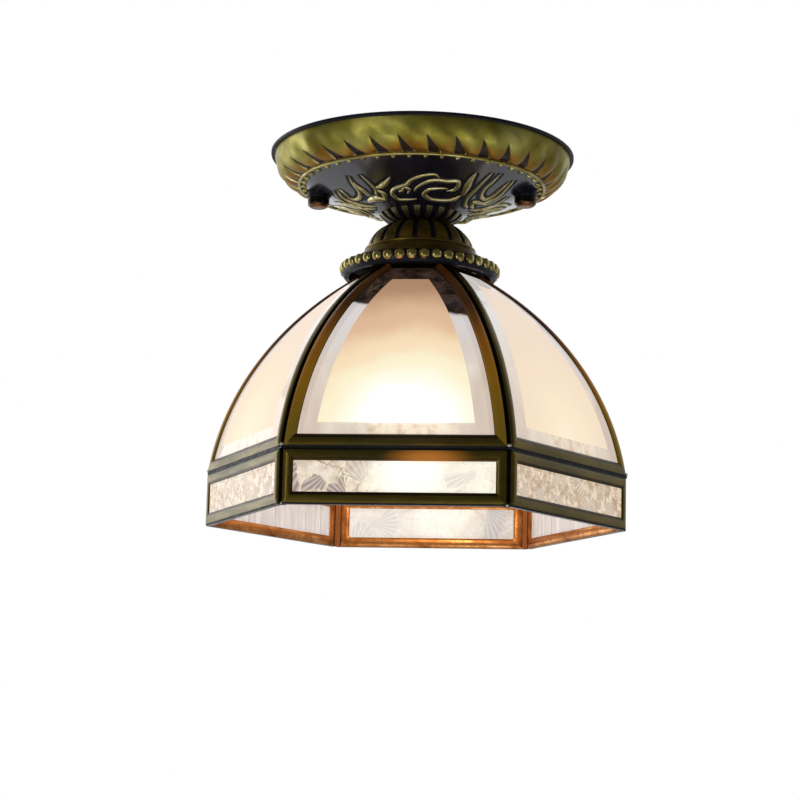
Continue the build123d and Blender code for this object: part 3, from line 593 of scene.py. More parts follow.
# Painted lamplight on the etched glass, from the spot outwards; the tan at the far end is painted shade
FROST_FACING = [
    (0.0, (1.0, 1.0, 0.90)), (0.22, (1.0, 0.985, 0.82)), (0.33, (0.98, 0.89, 0.62)),
    (0.42, (0.94, 0.74, 0.49)), (0.56, (0.74, 0.48, 0.30)), (0.78, (0.41, 0.235, 0.13)),
    (1.0, (0.32, 0.18, 0.10))]
FROST_ASIDE = [
    (0.0, (0.97, 0.83, 0.62)), (0.14, (0.95, 0.79, 0.57)), (0.36, (0.90, 0.73, 0.54)),
    (0.60, (0.85, 0.69, 0.55)), (1.0, (0.78, 0.65, 0.56))]
# Tints of glue-chip glass, in order: the speckle from a dark fleck through clear to a bright painted glint,
# the hair lines, the slow clouds, and the low and high sides of a flake's ribs, painted light and shade
Tints = namedtuple("Tints", "fleck clear spark line cloud rib_low rib_high")


def frosted_glass(name, stops, spot, side_weight, hot=None):
    """Etched centre of a dome pane in a painted glow of the lamp behind it: white round a low spot, then
    cream, peach and tan, the tan being painted shade. The spot can be hot, a painted highlight brighter
    than the rest."""
    shade = Shade(name, Specular_IOR_Level=0.18)
    haze = shade.math("MULTIPLY_ADD", shade.noise(28.0, detail=3.0), 16.0, -8.0)
    away = shade.distance((SHADE_APOTHEM, spot, GLOW_Z), (0.0, side_weight, 1.0))
    reach = shade.math("ADD", away, haze)
    frost = shade.noise(2600.0, detail=2.0)
    strength = shade.band(reach, 3.0, 24.0, hot, FROST_GLOW) if hot else FROST_GLOW
    return shade.surface(
        (0.09, 0.085, 0.08), frost, (0.42, 0.6), frost, 0.06, 0.05,
        Emission_Color=shade.ramp(shade.math("DIVIDE", reach, FROST_REACH), stops, "EASE"),
        Emission_Strength=strength)


def clear_border(name, crown_refraction_dark, crown_refraction_light):
    """Clear ground border of a dome pane, its colour a painted view through the glass in painted lamplight:
    pale, mottled with a painted glow low down, greyer higher up, and a painted refraction of the crown at
    its head.
    """
    shade = Shade(name, Roughness=0.05, Specular_IOR_Level=0.25)
    streaks = shade.noise(70.0, detail=3.0, stretch=(1.0, 1.0, 0.25))
    ragged = shade.noise(170.0)
    level = shade.along("Z")
    tilted = shade.math("MULTIPLY_ADD", shade.along("Y"), 0.14, level)
    crown_from, crown_full, cool_from, cool_full = -95.5, -93.5, -138.0, -102.0
    # Painted refraction of the dark crown near the border's head
    crown = shade.band(shade.shifted(tilted, ragged, 3.0), crown_from, crown_full)
    cool = shade.band(level, cool_from, cool_full, 0.0, 0.75)
    pale = shade.ramp(streaks, [
        (0.35, (0.70, 0.58, 0.49)), (0.6, (0.78, 0.68, 0.58)), (0.75, (0.88, 0.82, 0.76))])
    mottled = shade.ramp(shade.noise(240.0), [
        (0.38, (0.58, 0.32, 0.17)), (0.5, (0.88, 0.70, 0.46)), (0.6, (0.95, 0.88, 0.70))])
    foot = shade.distance((SHADE_APOTHEM, 4.0, GLOW_Z - 2.0), (0.0, 0.35, 1.0))
    tint = shade.mix(shade.band(foot, 5.0, 12.0, 0.45, 0.0), pale, mottled)
    tint = shade.mix(cool, tint, (0.76, 0.745, 0.755))
    tint = shade.mix(crown, tint, shade.ramp(ragged, [(0.4, crown_refraction_dark), (0.7, crown_refraction_light)]))
    shade.set(
        Base_Color=shade.mix(0.72, tint, BLACK),
        Emission_Color=tint,
        Emission_Strength=0.82,
        Alpha=shade.band(crown, 0.0, 1.0, 0.86, 0.97),
        Normal=shade.bump(streaks, 0.05, 0.2))
    return shade.material


def chipped_glass(name, scale, flake_from, tints, glow=None, spot=0.0, reeding=1.0):
    """Glue-chip glass: fern-like flakes whose fine ribs fan out from one corner, over speckled pale glass
    with hair lines. The flakes are about 1 / scale metres wide, flake_from is the share left clear, and a
    painted glow of lamplight can lie round a spot to one side of the pane's middle. A low reeding draws the
    speckle out into upright lines. The colours paint light as well: glints in the speckle, light and shade
    across the ribs, and an even glow of lamplight over the glass."""
    shade = Shade(name, Specular_IOR_Level=0.5)
    upward = shade.math("ADD", shade.axis(shade.place, "Z"), FLAKE_SHIFT * MM)
    flat = shade.node("ShaderNodeCombineXYZ", {"X": shade.axis(shade.place, "Y"), "Y": upward})
    bend, fan = 0.8 / scale, 1.8 / scale
    warp = shade.vector("SUBTRACT", shade.noise(1.3 * scale, detail=2.0, output="Color"), MID_GREY)
    bent = shade.vector("ADD", flat, shade.vector("MULTIPLY", warp, (bend, bend, 0.0)))

    def cells(feature, size, output):
        inputs = {"Vector": bent, "Scale": size}
        return shade.node(
            "ShaderNodeTexVoronoi", inputs, output, feature=feature, voronoi_dimensions="2D")

    chance = cells("F1", scale, "Color")
    from_middle = shade.vector("SUBTRACT", flat, chance.node.outputs["Position"])
    corner = shade.vector("MULTIPLY", shade.vector("SUBTRACT", chance, MID_GREY), (fan, fan, 0.0))
    spoke = shade.vector("SUBTRACT", from_middle, corner)
    angle = shade.math("ARCTAN2", shade.axis(spoke, "Y"), shade.axis(spoke, "X"))
    wave = shade.math("SINE", shade.math("MULTIPLY", angle, FLAKE_RIBS))
    ribs = shade.math("MULTIPLY_ADD", wave, 0.5, 0.5)
    inside = shade.band(cells("DISTANCE_TO_EDGE", scale, "Distance"), 0.03, 0.10)
    chosen = shade.band(shade.axis(chance, "X"), flake_from, flake_from + 0.06)
    flake = shade.math("MULTIPLY", chosen, inside)
    specks = shade.noise(2.4 * scale, roughness=0.62, stretch=(1.0, 1.0, reeding))
    clear = shade.ramp(specks, [(0.36, tints.fleck), (0.50, tints.clear), (0.62, tints.spark)])
    clouds = shade.band(shade.noise(45.0, detail=2.0), 0.48, 0.66, 0.0, 0.6)
    hair = shade.band(cells("DISTANCE_TO_EDGE", 2.2 * scale, "Distance"), 0.0, 0.07, 1.0, 0.0)
    broken = shade.band(shade.noise(1.1 * scale), 0.45, 0.58, 0.0, 0.75)
    tint = shade.mix(clouds, clear, tints.cloud)
    tint = shade.mix(shade.math("MULTIPLY", hair, broken), tint, tints.line)
    tint = shade.mix(flake, tint, shade.ramp(ribs, [(0.2, tints.rib_low), (0.8, tints.rib_high)]))
    strength = CHIPPED_GLOW
    # Painted lamplight round a spot and towards one side of the pane
    if glow:
        away = shade.distance((SHADE_APOTHEM, spot, SKIRT_TOP - 11.0), (0.0, 1.0, 0.9))
        centre_light = shade.band(away, 8.0, 30.0, glow, 0.0)
        side_light = shade.band(shade.along("Y"), -12.0, 22.0, 0.0, SIDE_GLOW_SHARE * glow)
        light = shade.math("MAXIMUM", centre_light, side_light)
        tint = shade.mix(light, tint, (1.0, 0.975, 0.86))
        strength = shade.math("MULTIPLY_ADD", light, 0.2, CHIPPED_GLOW)
    raised = shade.math("MULTIPLY", shade.math("MULTIPLY", ribs, flake), 0.5)
    shade.set(
        Base_Color=shade.mix(0.75, tint, BLACK),
        Emission_Color=tint,
        Emission_Strength=strength,
        Alpha=shade.band(flake, 0.0, 1.0, 0.90, 0.97),
        Roughness=shade.band(ribs, 0.0, 1.0, 0.10, 0.28),
        Normal=shade.bump(shade.math("ADD", raised, hair), 0.5, 0.4))
    return shade.material


def lit_globe():
    """Frosted lamp globe, brightest below and dimmer near its base."""
    shade = Shade("lit_globe", Base_Color=(0.9, 0.86, 0.8), Roughness=0.5)
    level = shade.along("Z")
    globe_bottom, globe_top = -172.0, -118.0
    climb = shade.band(level, globe_bottom, globe_top)
    shade.set(
        Emission_Color=shade.ramp(climb, [(0.0, (1.0, 0.88, 0.68)), (1.0, (1.0, 0.70, 0.40))]),
        Emission_Strength=shade.band(level, -135.0, -115.0, 7.0, 3.0))
    return shade.material


# Materials: those in pairs are for panels that face the camera (True) and for the others, and differ in
# painted light
nut_low, nut_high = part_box("cap_nut_right")
STUD_X = (nut_low[0] + nut_high[0]) / 2 / MM
PAD_BOTTOM = nut_high[2] / MM
# Spot where the cap's beads take a painted glow of lamplight
BEAD_LAMPLIGHT_SPOT = (-4.5, -41.0, CAP_RIM_BOTTOM + 0.9)

RIM_GOLD = rim_gold()
RELIEF_GOLD = antique_metal(
    "relief_gold", [(0.46, 0.42, 0.17), (0.31, 0.26, 0.08), (0.19, 0.12, 0.03)], 90.0, (0.40, 0.24))
CAP_OLIVE = antique_metal(
    "cap_olive", [(0.25, 0.175, 0.034), (0.14, 0.09, 0.015), (0.06, 0.033, 0.006)], 60.0, (0.48, 0.32))
BEAD_OLIVE = antique_metal(
    "bead_olive", [(0.50, 0.42, 0.15), (0.33, 0.26, 0.075), (0.17, 0.11, 0.03)], 140.0, (0.26, 0.14),
    BEAD_LAMPLIGHT_SPOT)
COLLAR_OLIVE = antique_metal(
    "collar_olive", [(0.27, 0.26, 0.12), (0.15, 0.135, 0.05), (0.07, 0.055, 0.018)], 120.0, (0.46, 0.30))
SCROLL_GOLD = antique_metal(
    "scroll_gold", [(0.72, 0.66, 0.38), (0.52, 0.45, 0.20), (0.34, 0.24, 0.08)], 90.0, (0.42, 0.28))
GLOSSY_BLACK = black_patina("glossy_black", 0.7, 0.16)
MATT_BLACK = black_patina("matt_black", 0.12, 0.45)
BROWN_RECESS = one_noise(
    "brown_recess", {"scale": 420.0}, [(0.42, (0.005, 0.003, 0.003)), (0.72, (0.05, 0.025, 0.012))],
    (0.35, 0.5), 0.3, 0.3, Metallic=0.5)
OLIVE_TONES = [(0.17, 0.11, 0.010), (0.115, 0.08, 0.007), (0.07, 0.052, 0.005)]
# Darker tones for the rails' inner edges and the walls of the cross rails: painted shade
SHADOW_TONES = [(0.07, 0.036, 0.004), (0.04, 0.022, 0.003), (0.024, 0.014, 0.002)]
# Strength of the painted lamplight glow at the waist, on the panels that face the camera
RAIL_GLOW = 0.36
RAIL_OLIVE = {
    True: rail_metal("rail_olive_facing", OLIVE_TONES, 0.08, RAIL_GLOW),
    False: rail_metal("rail_olive_aside", OLIVE_TONES, 0.12)}
RAIL_SHADOW = {
    True: rail_metal("rail_shadow_facing", SHADOW_TONES, 0.03, RAIL_GLOW),
    False: rail_metal("rail_shadow_aside", SHADOW_TONES, 0.05)}
RAIL_LAMPLIT = rail_lamplit()
RAIL_COPPER = one_noise(
    "rail_copper", {"scale": 120.0, "detail": 5.0, "distortion": 0.5},
    [(0.3, (0.24, 0.072, 0.014)), (0.5, (0.44, 0.165, 0.042)), (0.72, (0.62, 0.29, 0.10))],
    (0.42, 0.24), 0.15, 0.3, Metallic=0.9)
DULL_SOLDER = [(0.002, 0.002, 0.002), (0.008, 0.007, 0.006)]
DARK_SOLDER = solder("dark_solder", *DULL_SOLDER, 0.0)
CORNER_SOLDER = solder("corner_solder", *DULL_SOLDER, 0.0, inner=(0.26, 0.09, 0.022))
BRIGHT_SOLDER = solder("bright_solder", (0.35, 0.34, 0.31), (0.7, 0.69, 0.66), 1.0)
NUT_BRONZE = nut_bronze(PAD_BOTTOM)
# The hot spot on the panels that face the camera is a painted highlight
FROST = {
    True: frosted_glass("frosted_facing", FROST_FACING, 5.0, 0.8, hot=2.2),
    False: frosted_glass("frosted_aside", FROST_ASIDE, 0.0, 1.0)}
# Each kind of pane has its own tints of the same glass: painted light, for how it is lit and seen
CHIP_TINTS = Tints(
    (0.74, 0.59, 0.46), (0.90, 0.77, 0.59), (1.0, 0.92, 0.72), (0.24, 0.17, 0.06), (0.80, 0.70, 0.66),
    (0.36, 0.28, 0.25), (0.62, 0.51, 0.45))
TAN_TINTS = Tints(
    (0.50, 0.365, 0.235), (0.71, 0.545, 0.39), (0.97, 0.80, 0.60), (0.33, 0.24, 0.13), (0.62, 0.40, 0.24),
    (0.54, 0.42, 0.31), (0.76, 0.63, 0.51))
PALE_TINTS = Tints(
    (0.60, 0.53, 0.48), (0.66, 0.60, 0.55), (0.74, 0.68, 0.64), (0.52, 0.45, 0.40), (0.70, 0.67, 0.68),
    (0.50, 0.47, 0.46), (0.61, 0.58, 0.57))
REED_TINTS = Tints(
    (0.56, 0.50, 0.47), (0.66, 0.60, 0.57), (0.80, 0.75, 0.74), (0.60, 0.54, 0.51), (0.72, 0.68, 0.68),
    (0.54, 0.50, 0.49), (0.61, 0.58, 0.57))
CHIPPED = {
    True: chipped_glass("chipped_facing", 85.0, 0.66, CHIP_TINTS, glow=1.0, spot=8.0),
    False: chipped_glass("chipped_aside", 125.0, 0.55, TAN_TINTS)}
CHIPPED_BACK = {
    True: chipped_glass("chipped_back_facing", 70.0, 0.60, PALE_TINTS, glow=0.5, spot=-6.0),
    False: chipped_glass("chipped_back_aside", 230.0, 0.96, REED_TINTS, reeding=0.05)}
# The crown's painted refraction: dark on the panels that face the camera, pale on the others
BORDER = {
    True: clear_border("border_facing", (0.010, 0.006, 0.005), (0.06, 0.034, 0.025)),
    False: clear_border("border_aside", (0.62, 0.58, 0.55), (0.78, 0.74, 0.71))}
LIT_GLOBE = lit_globe()
PLATED_STEEL = plain_metal("plated_steel", (0.66, 0.64, 0.58), (0.46, 0.45, 0.42), 0.32, (1.0, 0.08, 1.0))
PLAIN_BRASS = plain_metal("plain_brass", (0.72, 0.55, 0.25), (0.50, 0.35, 0.14), 0.3, (1.0, 1.0, 0.08))
BARE_PAN = plain_metal("bare_pan", (0.42, 0.36, 0.20), (0.26, 0.21, 0.11), 0.4, (1.0, 1.0, 0.1))
ALUMINIUM = plain_metal("rolled_aluminium", (0.80, 0.79, 0.76), (0.60, 0.59, 0.56), 0.28, (0.1, 0.1, 1.0))
MOULDED_BLACK = one_noise(
    "moulded_black", {"scale": 1500.0, "detail": 2.0},
    [(0.3, (0.010, 0.010, 0.010)), (0.7, (0.030, 0.029, 0.028))],
    (0.28, 0.42), 0.15, 0.08, Specular_IOR_Level=0.5)


def fixed_piece(made, node):
    """Puts a visual piece on the fixture in place of a node."""
    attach(made, "fixture")
    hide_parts(node)


# Canopy
def canopy_lip(relief):
    inner = RIM_START[0] - CANOPY_SHEET
    profile = [
        (inner, 0), (CANOPY_RADIUS - LIP_EDGE, 0), (CANOPY_RADIUS, -LIP_EDGE),
        (CANOPY_RADIUS, LIP_EDGE - LIP_HEIGHT), (CANOPY_RADIUS - LIP_EDGE, -LIP_HEIGHT), RIM_START]
    relief.turned(profile, MATT_BLACK)


def gadroon_columns(up, length):
    """Columns of one notch with half a gadroon on each side, at a distance up the rim from the ring."""
    share = max((up - NOTCH_START) / NOTCH_LENGTH, 0.0)
    half_notch = max(NOTCH_WIDTH / 2 * max(1 - share, 0.0) ** NOTCH_TAPER, NOTCH_TIP_HALF)
    floor_half = NOTCH_FLOOR_SHARE * half_notch
    fade_from, fade_to = (length * part for part in GADROON_FADE)
    rise = GADROON_RISE * smooth(up, 0.0, GADROON_FOOT) * (1 - smooth(up, fade_from, fade_to))
    runout = 1 - smooth(up, NOTCH_TIP - NOTCH_RUNOUT, NOTCH_TIP)
    depth = NOTCH_DEPTH * smooth(up, NOTCH_START - NOTCH_EDGE, NOTCH_START) * runout
    soft_from, soft_to = (NOTCH_TIP + reach for reach in NOTCH_SOFTENING)
    soft = smooth(up, soft_from, soft_to)
    shift = -NOTCH_SWIRL * share ** NOTCH_CURL

    def height(reach):
        pillow = math.sin(math.pi / 2 * reach) ** GADROON_FULLNESS
        wave = 0.5 - 0.5 * math.cos(math.pi * reach)
        return rise * (pillow + (wave - pillow) * soft)

    def columns(_, pitch):
        crest = pitch / 2
        rising = spread(0.0, 1.0, LOBE_STEPS + 1)
        near = [(half_notch + (crest - half_notch) * reach, height(reach)) for reach in rising]
        floor_line = [(x, -depth) for x in spread(-floor_half, floor_half, NOTCH_STEPS)]
        far = [(-x, h) for x, h in reversed(near)]
        return [(x + shift, h) for x, h in far + floor_line + near[:-1]]

    return columns


def canopy_gadroons(relief):
    """Swirled gadroons of the rim, parted by dark three-cornered notches whose bright edges are a painted
    highlight.
    """
    path = bulged(RIM_START, RING_POINT, RIM_BULGE)
    points = path_points(path, 41)
    length = sum(math.dist(a, b) for a, b in zip(points, points[1:]))
    notch_foot = NOTCH_START - NOTCH_EDGE
    rim_rows, notch_rows, gap = 12, 16, 0.4
    stations = spread(length, NOTCH_TIP + gap, rim_rows) + spread(NOTCH_TIP, NOTCH_START, notch_rows)
    stations += [notch_foot, notch_foot / 2, 0.0]
    rows = []
    for up in stations:
        rows += sector_rows(path, [1 - up / length], GADROONS, gadroon_columns(up, length))
    width = len(rows[0]) // GADROONS

    def material(row, column):
        place = column % width
        in_notch = stations[row] <= NOTCH_TIP and stations[row + 1] >= notch_foot
        if not in_notch or not LOBE_STEPS <= place <= LOBE_STEPS + NOTCH_STEPS:
            return RIM_GOLD
        # The notch walls take the bright scroll gold: painted highlight along the notch edges
        return SCROLL_GOLD if place in (LOBE_STEPS, LOBE_STEPS + NOTCH_STEPS) else BROWN_RECESS

    relief.sheet(rows, material, closed=True)


def canopy_ring(relief):
    middle = (RING_POINT[0], RING_POINT[1] - RING_DROP)
    relief.turned(arc(middle, RING_WIRE / 2, 0, FULL_TURN, 11), RELIEF_GOLD, WIRE_COLUMNS)


CONE = bulged(RING_POINT, COLLAR_POINT, 0)
CONE_SLOPE = (RING_POINT[1] - COLLAR_POINT[1]) / (RING_POINT[0] - COLLAR_POINT[0])


def cone_z(radius):
    return RING_POINT[1] - (RING_POINT[0] - radius) * CONE_SLOPE


def canopy_pads(relief):
    """Black round seats of the two cap nuts, let into the cone."""
    edge = PAD_RADIUS - PAD_EDGE
    profile = [(PAD_RADIUS, PAD_BOTTOM + PAD_EDGE), (edge, PAD_BOTTOM), (PAD_RADIUS / 2, PAD_BOTTOM)]
    rows = ring_rows(profile, PAD_COLUMNS)
    for side in (-1, 1):
        moved = [[(x + side * STUD_X, y, z) for x, y, z in row] for row in rows]
        root = [(x, y, max(z, cone_z(math.hypot(x, y)))) for x, y, z in moved[0]]
        relief.sheet([root] + moved, MATT_BLACK, closed=True)


def canopy_collar(relief):
    """Ribs of the collar: gold tongues with black grooves between them."""
    def height(share, crest):
        return COLLAR_RIB_RISE * math.sin(math.pi * min(1.0, share + COLLAR_RIB_LEAD)) * crest

    fluted(
        relief, bulged(COLLAR_POINT, FLOOR_POINT, COLLAR_BULGE), COLLAR_OLIVE, COLLAR_RIBS, stations=10,
        lobe_steps=6, widest=math.inf, floor_share=0.8, height=height, depth=lambda _: COLLAR_GROOVE_DEPTH)


def canopy_inside(relief):
    """The plain back of the pan, seen from above, and its flat floor."""
    inside = RIM_START[0] - CANOPY_SHEET
    fold = (RING_POINT[0] - CANOPY_SHEET / 2, RING_POINT[1] + CANOPY_SHEET)
    rim = bulged(fold, (inside, -CANOPY_SHEET), -RIM_BULGE)
    floor_radius, floor_z = FLOOR_POINT
    floor_top = floor_z + CANOPY_SHEET
    profile = [
        FLOOR_POINT, (STEM_HOLE_RADIUS, floor_z), (STEM_HOLE_RADIUS, floor_top), (floor_radius, floor_top),
        (COLLAR_POINT[0], COLLAR_POINT[1] + CANOPY_SHEET)]
    relief.turned(profile + path_points(rim, 12) + [(inside, 0)], BARE_PAN)


# Scroll relief
def cone_point(radius, degrees):
    """Point in plan of a place on the cone, counted to the right of the near side as the camera sees it."""
    turn = math.radians(degrees + CAMERA_YAW_DEG)
    return Vector((radius * math.sin(turn), -radius * math.cos(turn)))


def smooth_line(points, steps):
    """Even curve through points (Catmull-Rom), steps samples for each stretch."""
    held = [2 * points[0] - points[1], *points, 2 * points[-1] - points[-2]]
    curve = []
    for a, b, c, d in zip(held, held[1:], held[2:], held[3:]):
        for k in range(steps):
            t = k / steps
            square = (2 * a - 5 * b + 4 * c - d) * t ** 2
            cube = (3 * b - a - 3 * c + d) * t ** 3
            curve.append(0.5 * (2 * b + (c - a) * t + square + cube))
    return curve + [points[-1]]


def scroll_width(share, widths, degrees):
    """Half width of a stroke at a share of its length: tapered at its tips, broader at the cone's sides."""
    start, middle, end = widths
    from_end = min(share, 1 - share)
    swell = 2 * from_end
    width = (start if share < 0.5 else end) * (1 - swell) + middle * swell
    width *= SCROLL_WIDTH_SHARE * min(1.0, SCROLL_TIP_SHARE + SCROLL_TIP_GROWTH * from_end)
    return width * (1 + SIDE_SCROLL_SWELL * smooth(abs(degrees), *SIDE_SCROLL_DEGREES))


def scroll_stroke(relief, places, widths, turn):
    """One raised ridge on the cone, round in section, with a dull black recess on both sides."""
    curve = smooth_line([cone_point(*place) for place in places], SCROLL_STEPS)
    out_r, out_z = CONE(0.5)[1]
    last = len(curve) - 1
    rows, recess = [], []
    for i, point in enumerate(curve):
        ahead = curve[min(i + 1, last)] - curve[max(i - 1, 0)]
        radius = point.length
        normal = Vector((out_r * point.x / radius, out_r * point.y / radius, out_z))
        tangent = Vector((ahead.x, ahead.y, CONE_SLOPE * ahead.dot(point) / radius)).normalized()
        side = normal.cross(tangent)
        width = scroll_width(i / last, widths, places[0][1])
        base = Vector((point.x, point.y, cone_z(radius)))
        reach = side * (width + RECESS_MARGIN)
        middle_line = base + normal * RECESS_LIFT
        recess.append([tuple(turn @ (middle_line + reach * across)) for across in (-1, 0, 1)])
        row = []
        for swing in spread(-math.pi / 2, math.pi / 2, SCROLL_SECTIONS + 1):
            lift = SCROLL_HEIGHT_SHARE * width * math.cos(swing) - SCROLL_SINK
            row.append(tuple(turn @ (base + side * width * math.sin(swing) + normal * lift)))
        rows.append(row)
    relief.sheet(recess, MATT_BLACK)
    relief.sheet(rows, SCROLL_GOLD)


def canopy_scrolls(relief):
    for repeat in range(SCROLL_REPEATS):
        turn = Matrix.Rotation(FULL_TURN * repeat / SCROLL_REPEATS, 3, "Z")
        for places, widths in SCROLL_STROKES:
            scroll_stroke(relief, places, widths, turn)
        spot = cone_point(*SCROLL_BUTTON)
        centre = turn @ Vector((spot.x, spot.y, cone_z(spot.length)))
        relief.ball(centre, SCROLL_BUTTON_SIZE, RELIEF_GOLD)


def build_canopy():
    relief = Relief("canopy_relief")
    canopy_lip(relief)
    canopy_gadroons(relief)
    canopy_ring(relief)
    bead_z = cone_z(CANOPY_BEAD_CIRCLE)
    relief.ball_ring(CANOPY_BEADS, CANOPY_BEAD_CIRCLE, bead_z, CANOPY_BEAD_SIZE, RELIEF_GOLD)
    relief.turned(path_points(CONE, 24), GLOSSY_BLACK)
    canopy_scrolls(relief)
    canopy_pads(relief)
    canopy_collar(relief)
    canopy_inside(relief)
    fixed_piece(relief.make(), "canopy")


# Shade cap
def cap_dome(relief):
    """Fluted dome: swelling lobes that run out at both ends."""
    def ends(share):
        return min(1.0, share / CAP_LOBE_RUNOUT, (1 - share) / CAP_LOBE_RUNOUT)

    def height(share, crest):
        return ends(share) * CAP_LOBE_RISE * crest ** CAP_LOBE_FULLNESS

    fluted(
        relief, bulged(CAP_CROWN_POINT, CAP_DOME_POINT, CAP_DOME_BULGE), CAP_OLIVE, CAP_FLUTES, stations=18,
        lobe_steps=8, widest=CAP_FLUTE_WIDTH / 2, floor_share=0.7, height=height,
        depth=lambda share: ends(share) * CAP_FLUTE_DEPTH)


def cap_ledge(relief):
    """Small ridge under the dome and the hollow ledge down to the rim."""
    half_ridge = CAP_RIDGE / 2
    middle = (CAP_DOME_POINT[0] + half_ridge, CAP_DOME_POINT[1] - half_ridge)
    profile = [CAP_DOME_POINT] + arc(middle, half_ridge, math.pi / 2, -math.pi / 2, 7)
    ledge_start = (middle[0] + half_ridge / 2, middle[1] - half_ridge)
    ledge = bulged(ledge_start, CAP_LEDGE_POINT, -CAP_LEDGE_HOLLOW)
    relief.turned(profile + path_points(ledge, 9), CAP_OLIVE)


def cap_rim(relief):
    """Dark rounded band with a row of separate beads on it."""
    land = CAP_LEDGE_POINT[0] + CAP_RIM_LAND
    band = bulged((land, CAP_RIM_BOTTOM), (land, CAP_LEDGE_POINT[1]), -CAP_BAND_SWELL)
    profile = [(CAP_LEDGE_POINT[0] - CAP_SHEET, CAP_RIM_BOTTOM)] + path_points(band, 11)
    relief.turned(profile + [CAP_LEDGE_POINT], MATT_BLACK, BAND_COLUMNS)
    middle = (CAP_LEDGE_POINT[1] + CAP_RIM_BOTTOM) / 2 + CAP_BEAD_LIFT
    relief.ball_ring(CAP_BEADS, land + CAP_RIM_LAND, middle, CAP_BEAD_SIZE, BEAD_OLIVE)


def cap_inside(relief):
    """Dark hollow side of the cap, from the rim up to the crown, its black a painted shade."""
    wall = CAP_LEDGE_POINT[0] - CAP_SHEET
    ridge = CAP_DOME_POINT[0] + CAP_RIDGE - CAP_SHEET
    top = CAP_CROWN_POINT[1]
    under = bulged(
        (CAP_DOME_POINT[0] - CAP_SHEET, CAP_DOME_POINT[1]),
        (CAP_CROWN_POINT[0] - CAP_SHEET / 2, top - CAP_SHEET), -CAP_DOME_BULGE)
    profile = [
        (wall, CAP_RIM_BOTTOM), (wall, CAP_LEDGE_POINT[1] - CAP_SHEET),
        (ridge, CAP_DOME_POINT[1] - CAP_RIDGE - CAP_SHEET)]
    profile += path_points(under, 8)
    profile += [(STEM_HOLE_RADIUS, top - CAP_SHEET), (STEM_HOLE_RADIUS, top), CAP_CROWN_POINT]
    # Black inside the cap: painted shade
    relief.turned(profile, MATT_BLACK, HIDDEN_COLUMNS)


def build_cap():
    relief = Relief("cap_relief")
    cap_dome(relief)
    cap_ledge(relief)
    cap_rim(relief)
    cap_inside(relief)
    fixed_piece(relief.make(), "shade_cap")


# Shade panels: a panel is a function of (depth below its outer face, station up from its foot) that gives
# (distance from the axis, z), together with its length
def bent_panel():
    """Dome panel, bent to one radius."""
    lean = math.radians(DOME_FOOT_LEAN)
    run, rise = DOME_HEAD[0] - DOME_FOOT[0], DOME_HEAD[1] - DOME_FOOT[1]
    bend = -(run ** 2 + rise ** 2) / (2 * (run * math.cos(lean) + rise * math.sin(lean)))
    centre_x, centre_z = DOME_FOOT[0] - bend * math.cos(lean), DOME_FOOT[1] - bend * math.sin(lean)
    head = math.atan2(DOME_HEAD[1] - centre_z, DOME_HEAD[0] - centre_x)

    def at(depth, station):
        angle = lean + station / bend
        return centre_x + (bend - depth) * math.cos(angle), centre_z + (bend - depth) * math.sin(angle)

    return at, (head - lean) * bend


def flat_panel():
    """Upright skirt panel."""
    def at(depth, station):
        return SHADE_APOTHEM - depth, SKIRT_BOTTOM + station

    return at, SKIRT_TOP - SKIRT_BOTTOM


def half_width(x, trim):
    """Half the width of a panel at a distance x from the axis, cut back by trim from its frame's edges."""
    half_angle = math.pi / SIDES
    inset = CORNER_SEAM / 2 + trim * math.cos(half_angle)
    return (x - inset / math.sin(half_angle)) * math.tan(half_angle)


def border_loop(rows, inset):
    """Closed line of points round a grid, inset by a number of cells."""
    core = [row[inset:len(row) - inset] for row in rows[inset:len(rows) - inset]]
    left, right = [row[0] for row in core], [row[-1] for row in core]
    return core[0] + right[1:] + core[-1][-2::-1] + left[-2:0:-1]


def walls(relief, front, back, material, inset=0):
    """Joins two grids along their borders."""
    relief.sheet([border_loop(front, inset), border_loop(back, inset)], material, closed=True)


def faces_camera(number):
    """True for the panel that faces the camera and the one behind it."""
    return number % (SIDES // 2) == 1


def panel_turn(number):
    return Matrix.Rotation(math.radians(FIRST_PANEL_AZIMUTH + 360 / SIDES * (number - 1)), 4, "Z")


def panel_piece(relief, number, node, sharp_deg):
    """Makes a piece of a panel, turned to its side of the shade."""
    made = relief.make(sharp_deg)
    made.matrix_world = panel_turn(number)
    fixed_piece(made, f"{node}_{number}")


def frame_face(panel, long_steps, depth, cross_face, outer_drop, inner_drop):
    """Grid of points over one face of a frame, whose rails fall away to their outer and inner edges. Its top
    and bottom rails are cross_face wide."""
    at, length = panel
    rail_edge, cross_edge = (spread(0, face, RAIL_STEPS + 1) for face in (FRAME_FACE, cross_face))
    rows = []
    for station in edged(0, cross_edge, length, cross_edge, long_steps):
        half = half_width(at(depth + min(outer_drop, 0.0), station)[0], 0)
        from_end = FRAME_FACE / cross_face * min(station, length - station)
        row = []
        for offset in edged(-half, rail_edge, half, rail_edge, RAIL_COLUMNS):
            inset = min(half - abs(offset), from_end, FRAME_FACE)
            from_crest = 2 * inset / FRAME_FACE - 1
            drop = outer_drop if from_crest < 0 else inner_drop
            x, z = at(depth + drop * abs(from_crest) ** RAIL_ROUNDNESS, station)
            row.append((x, offset, z))
        rows.append(row)
    return rows


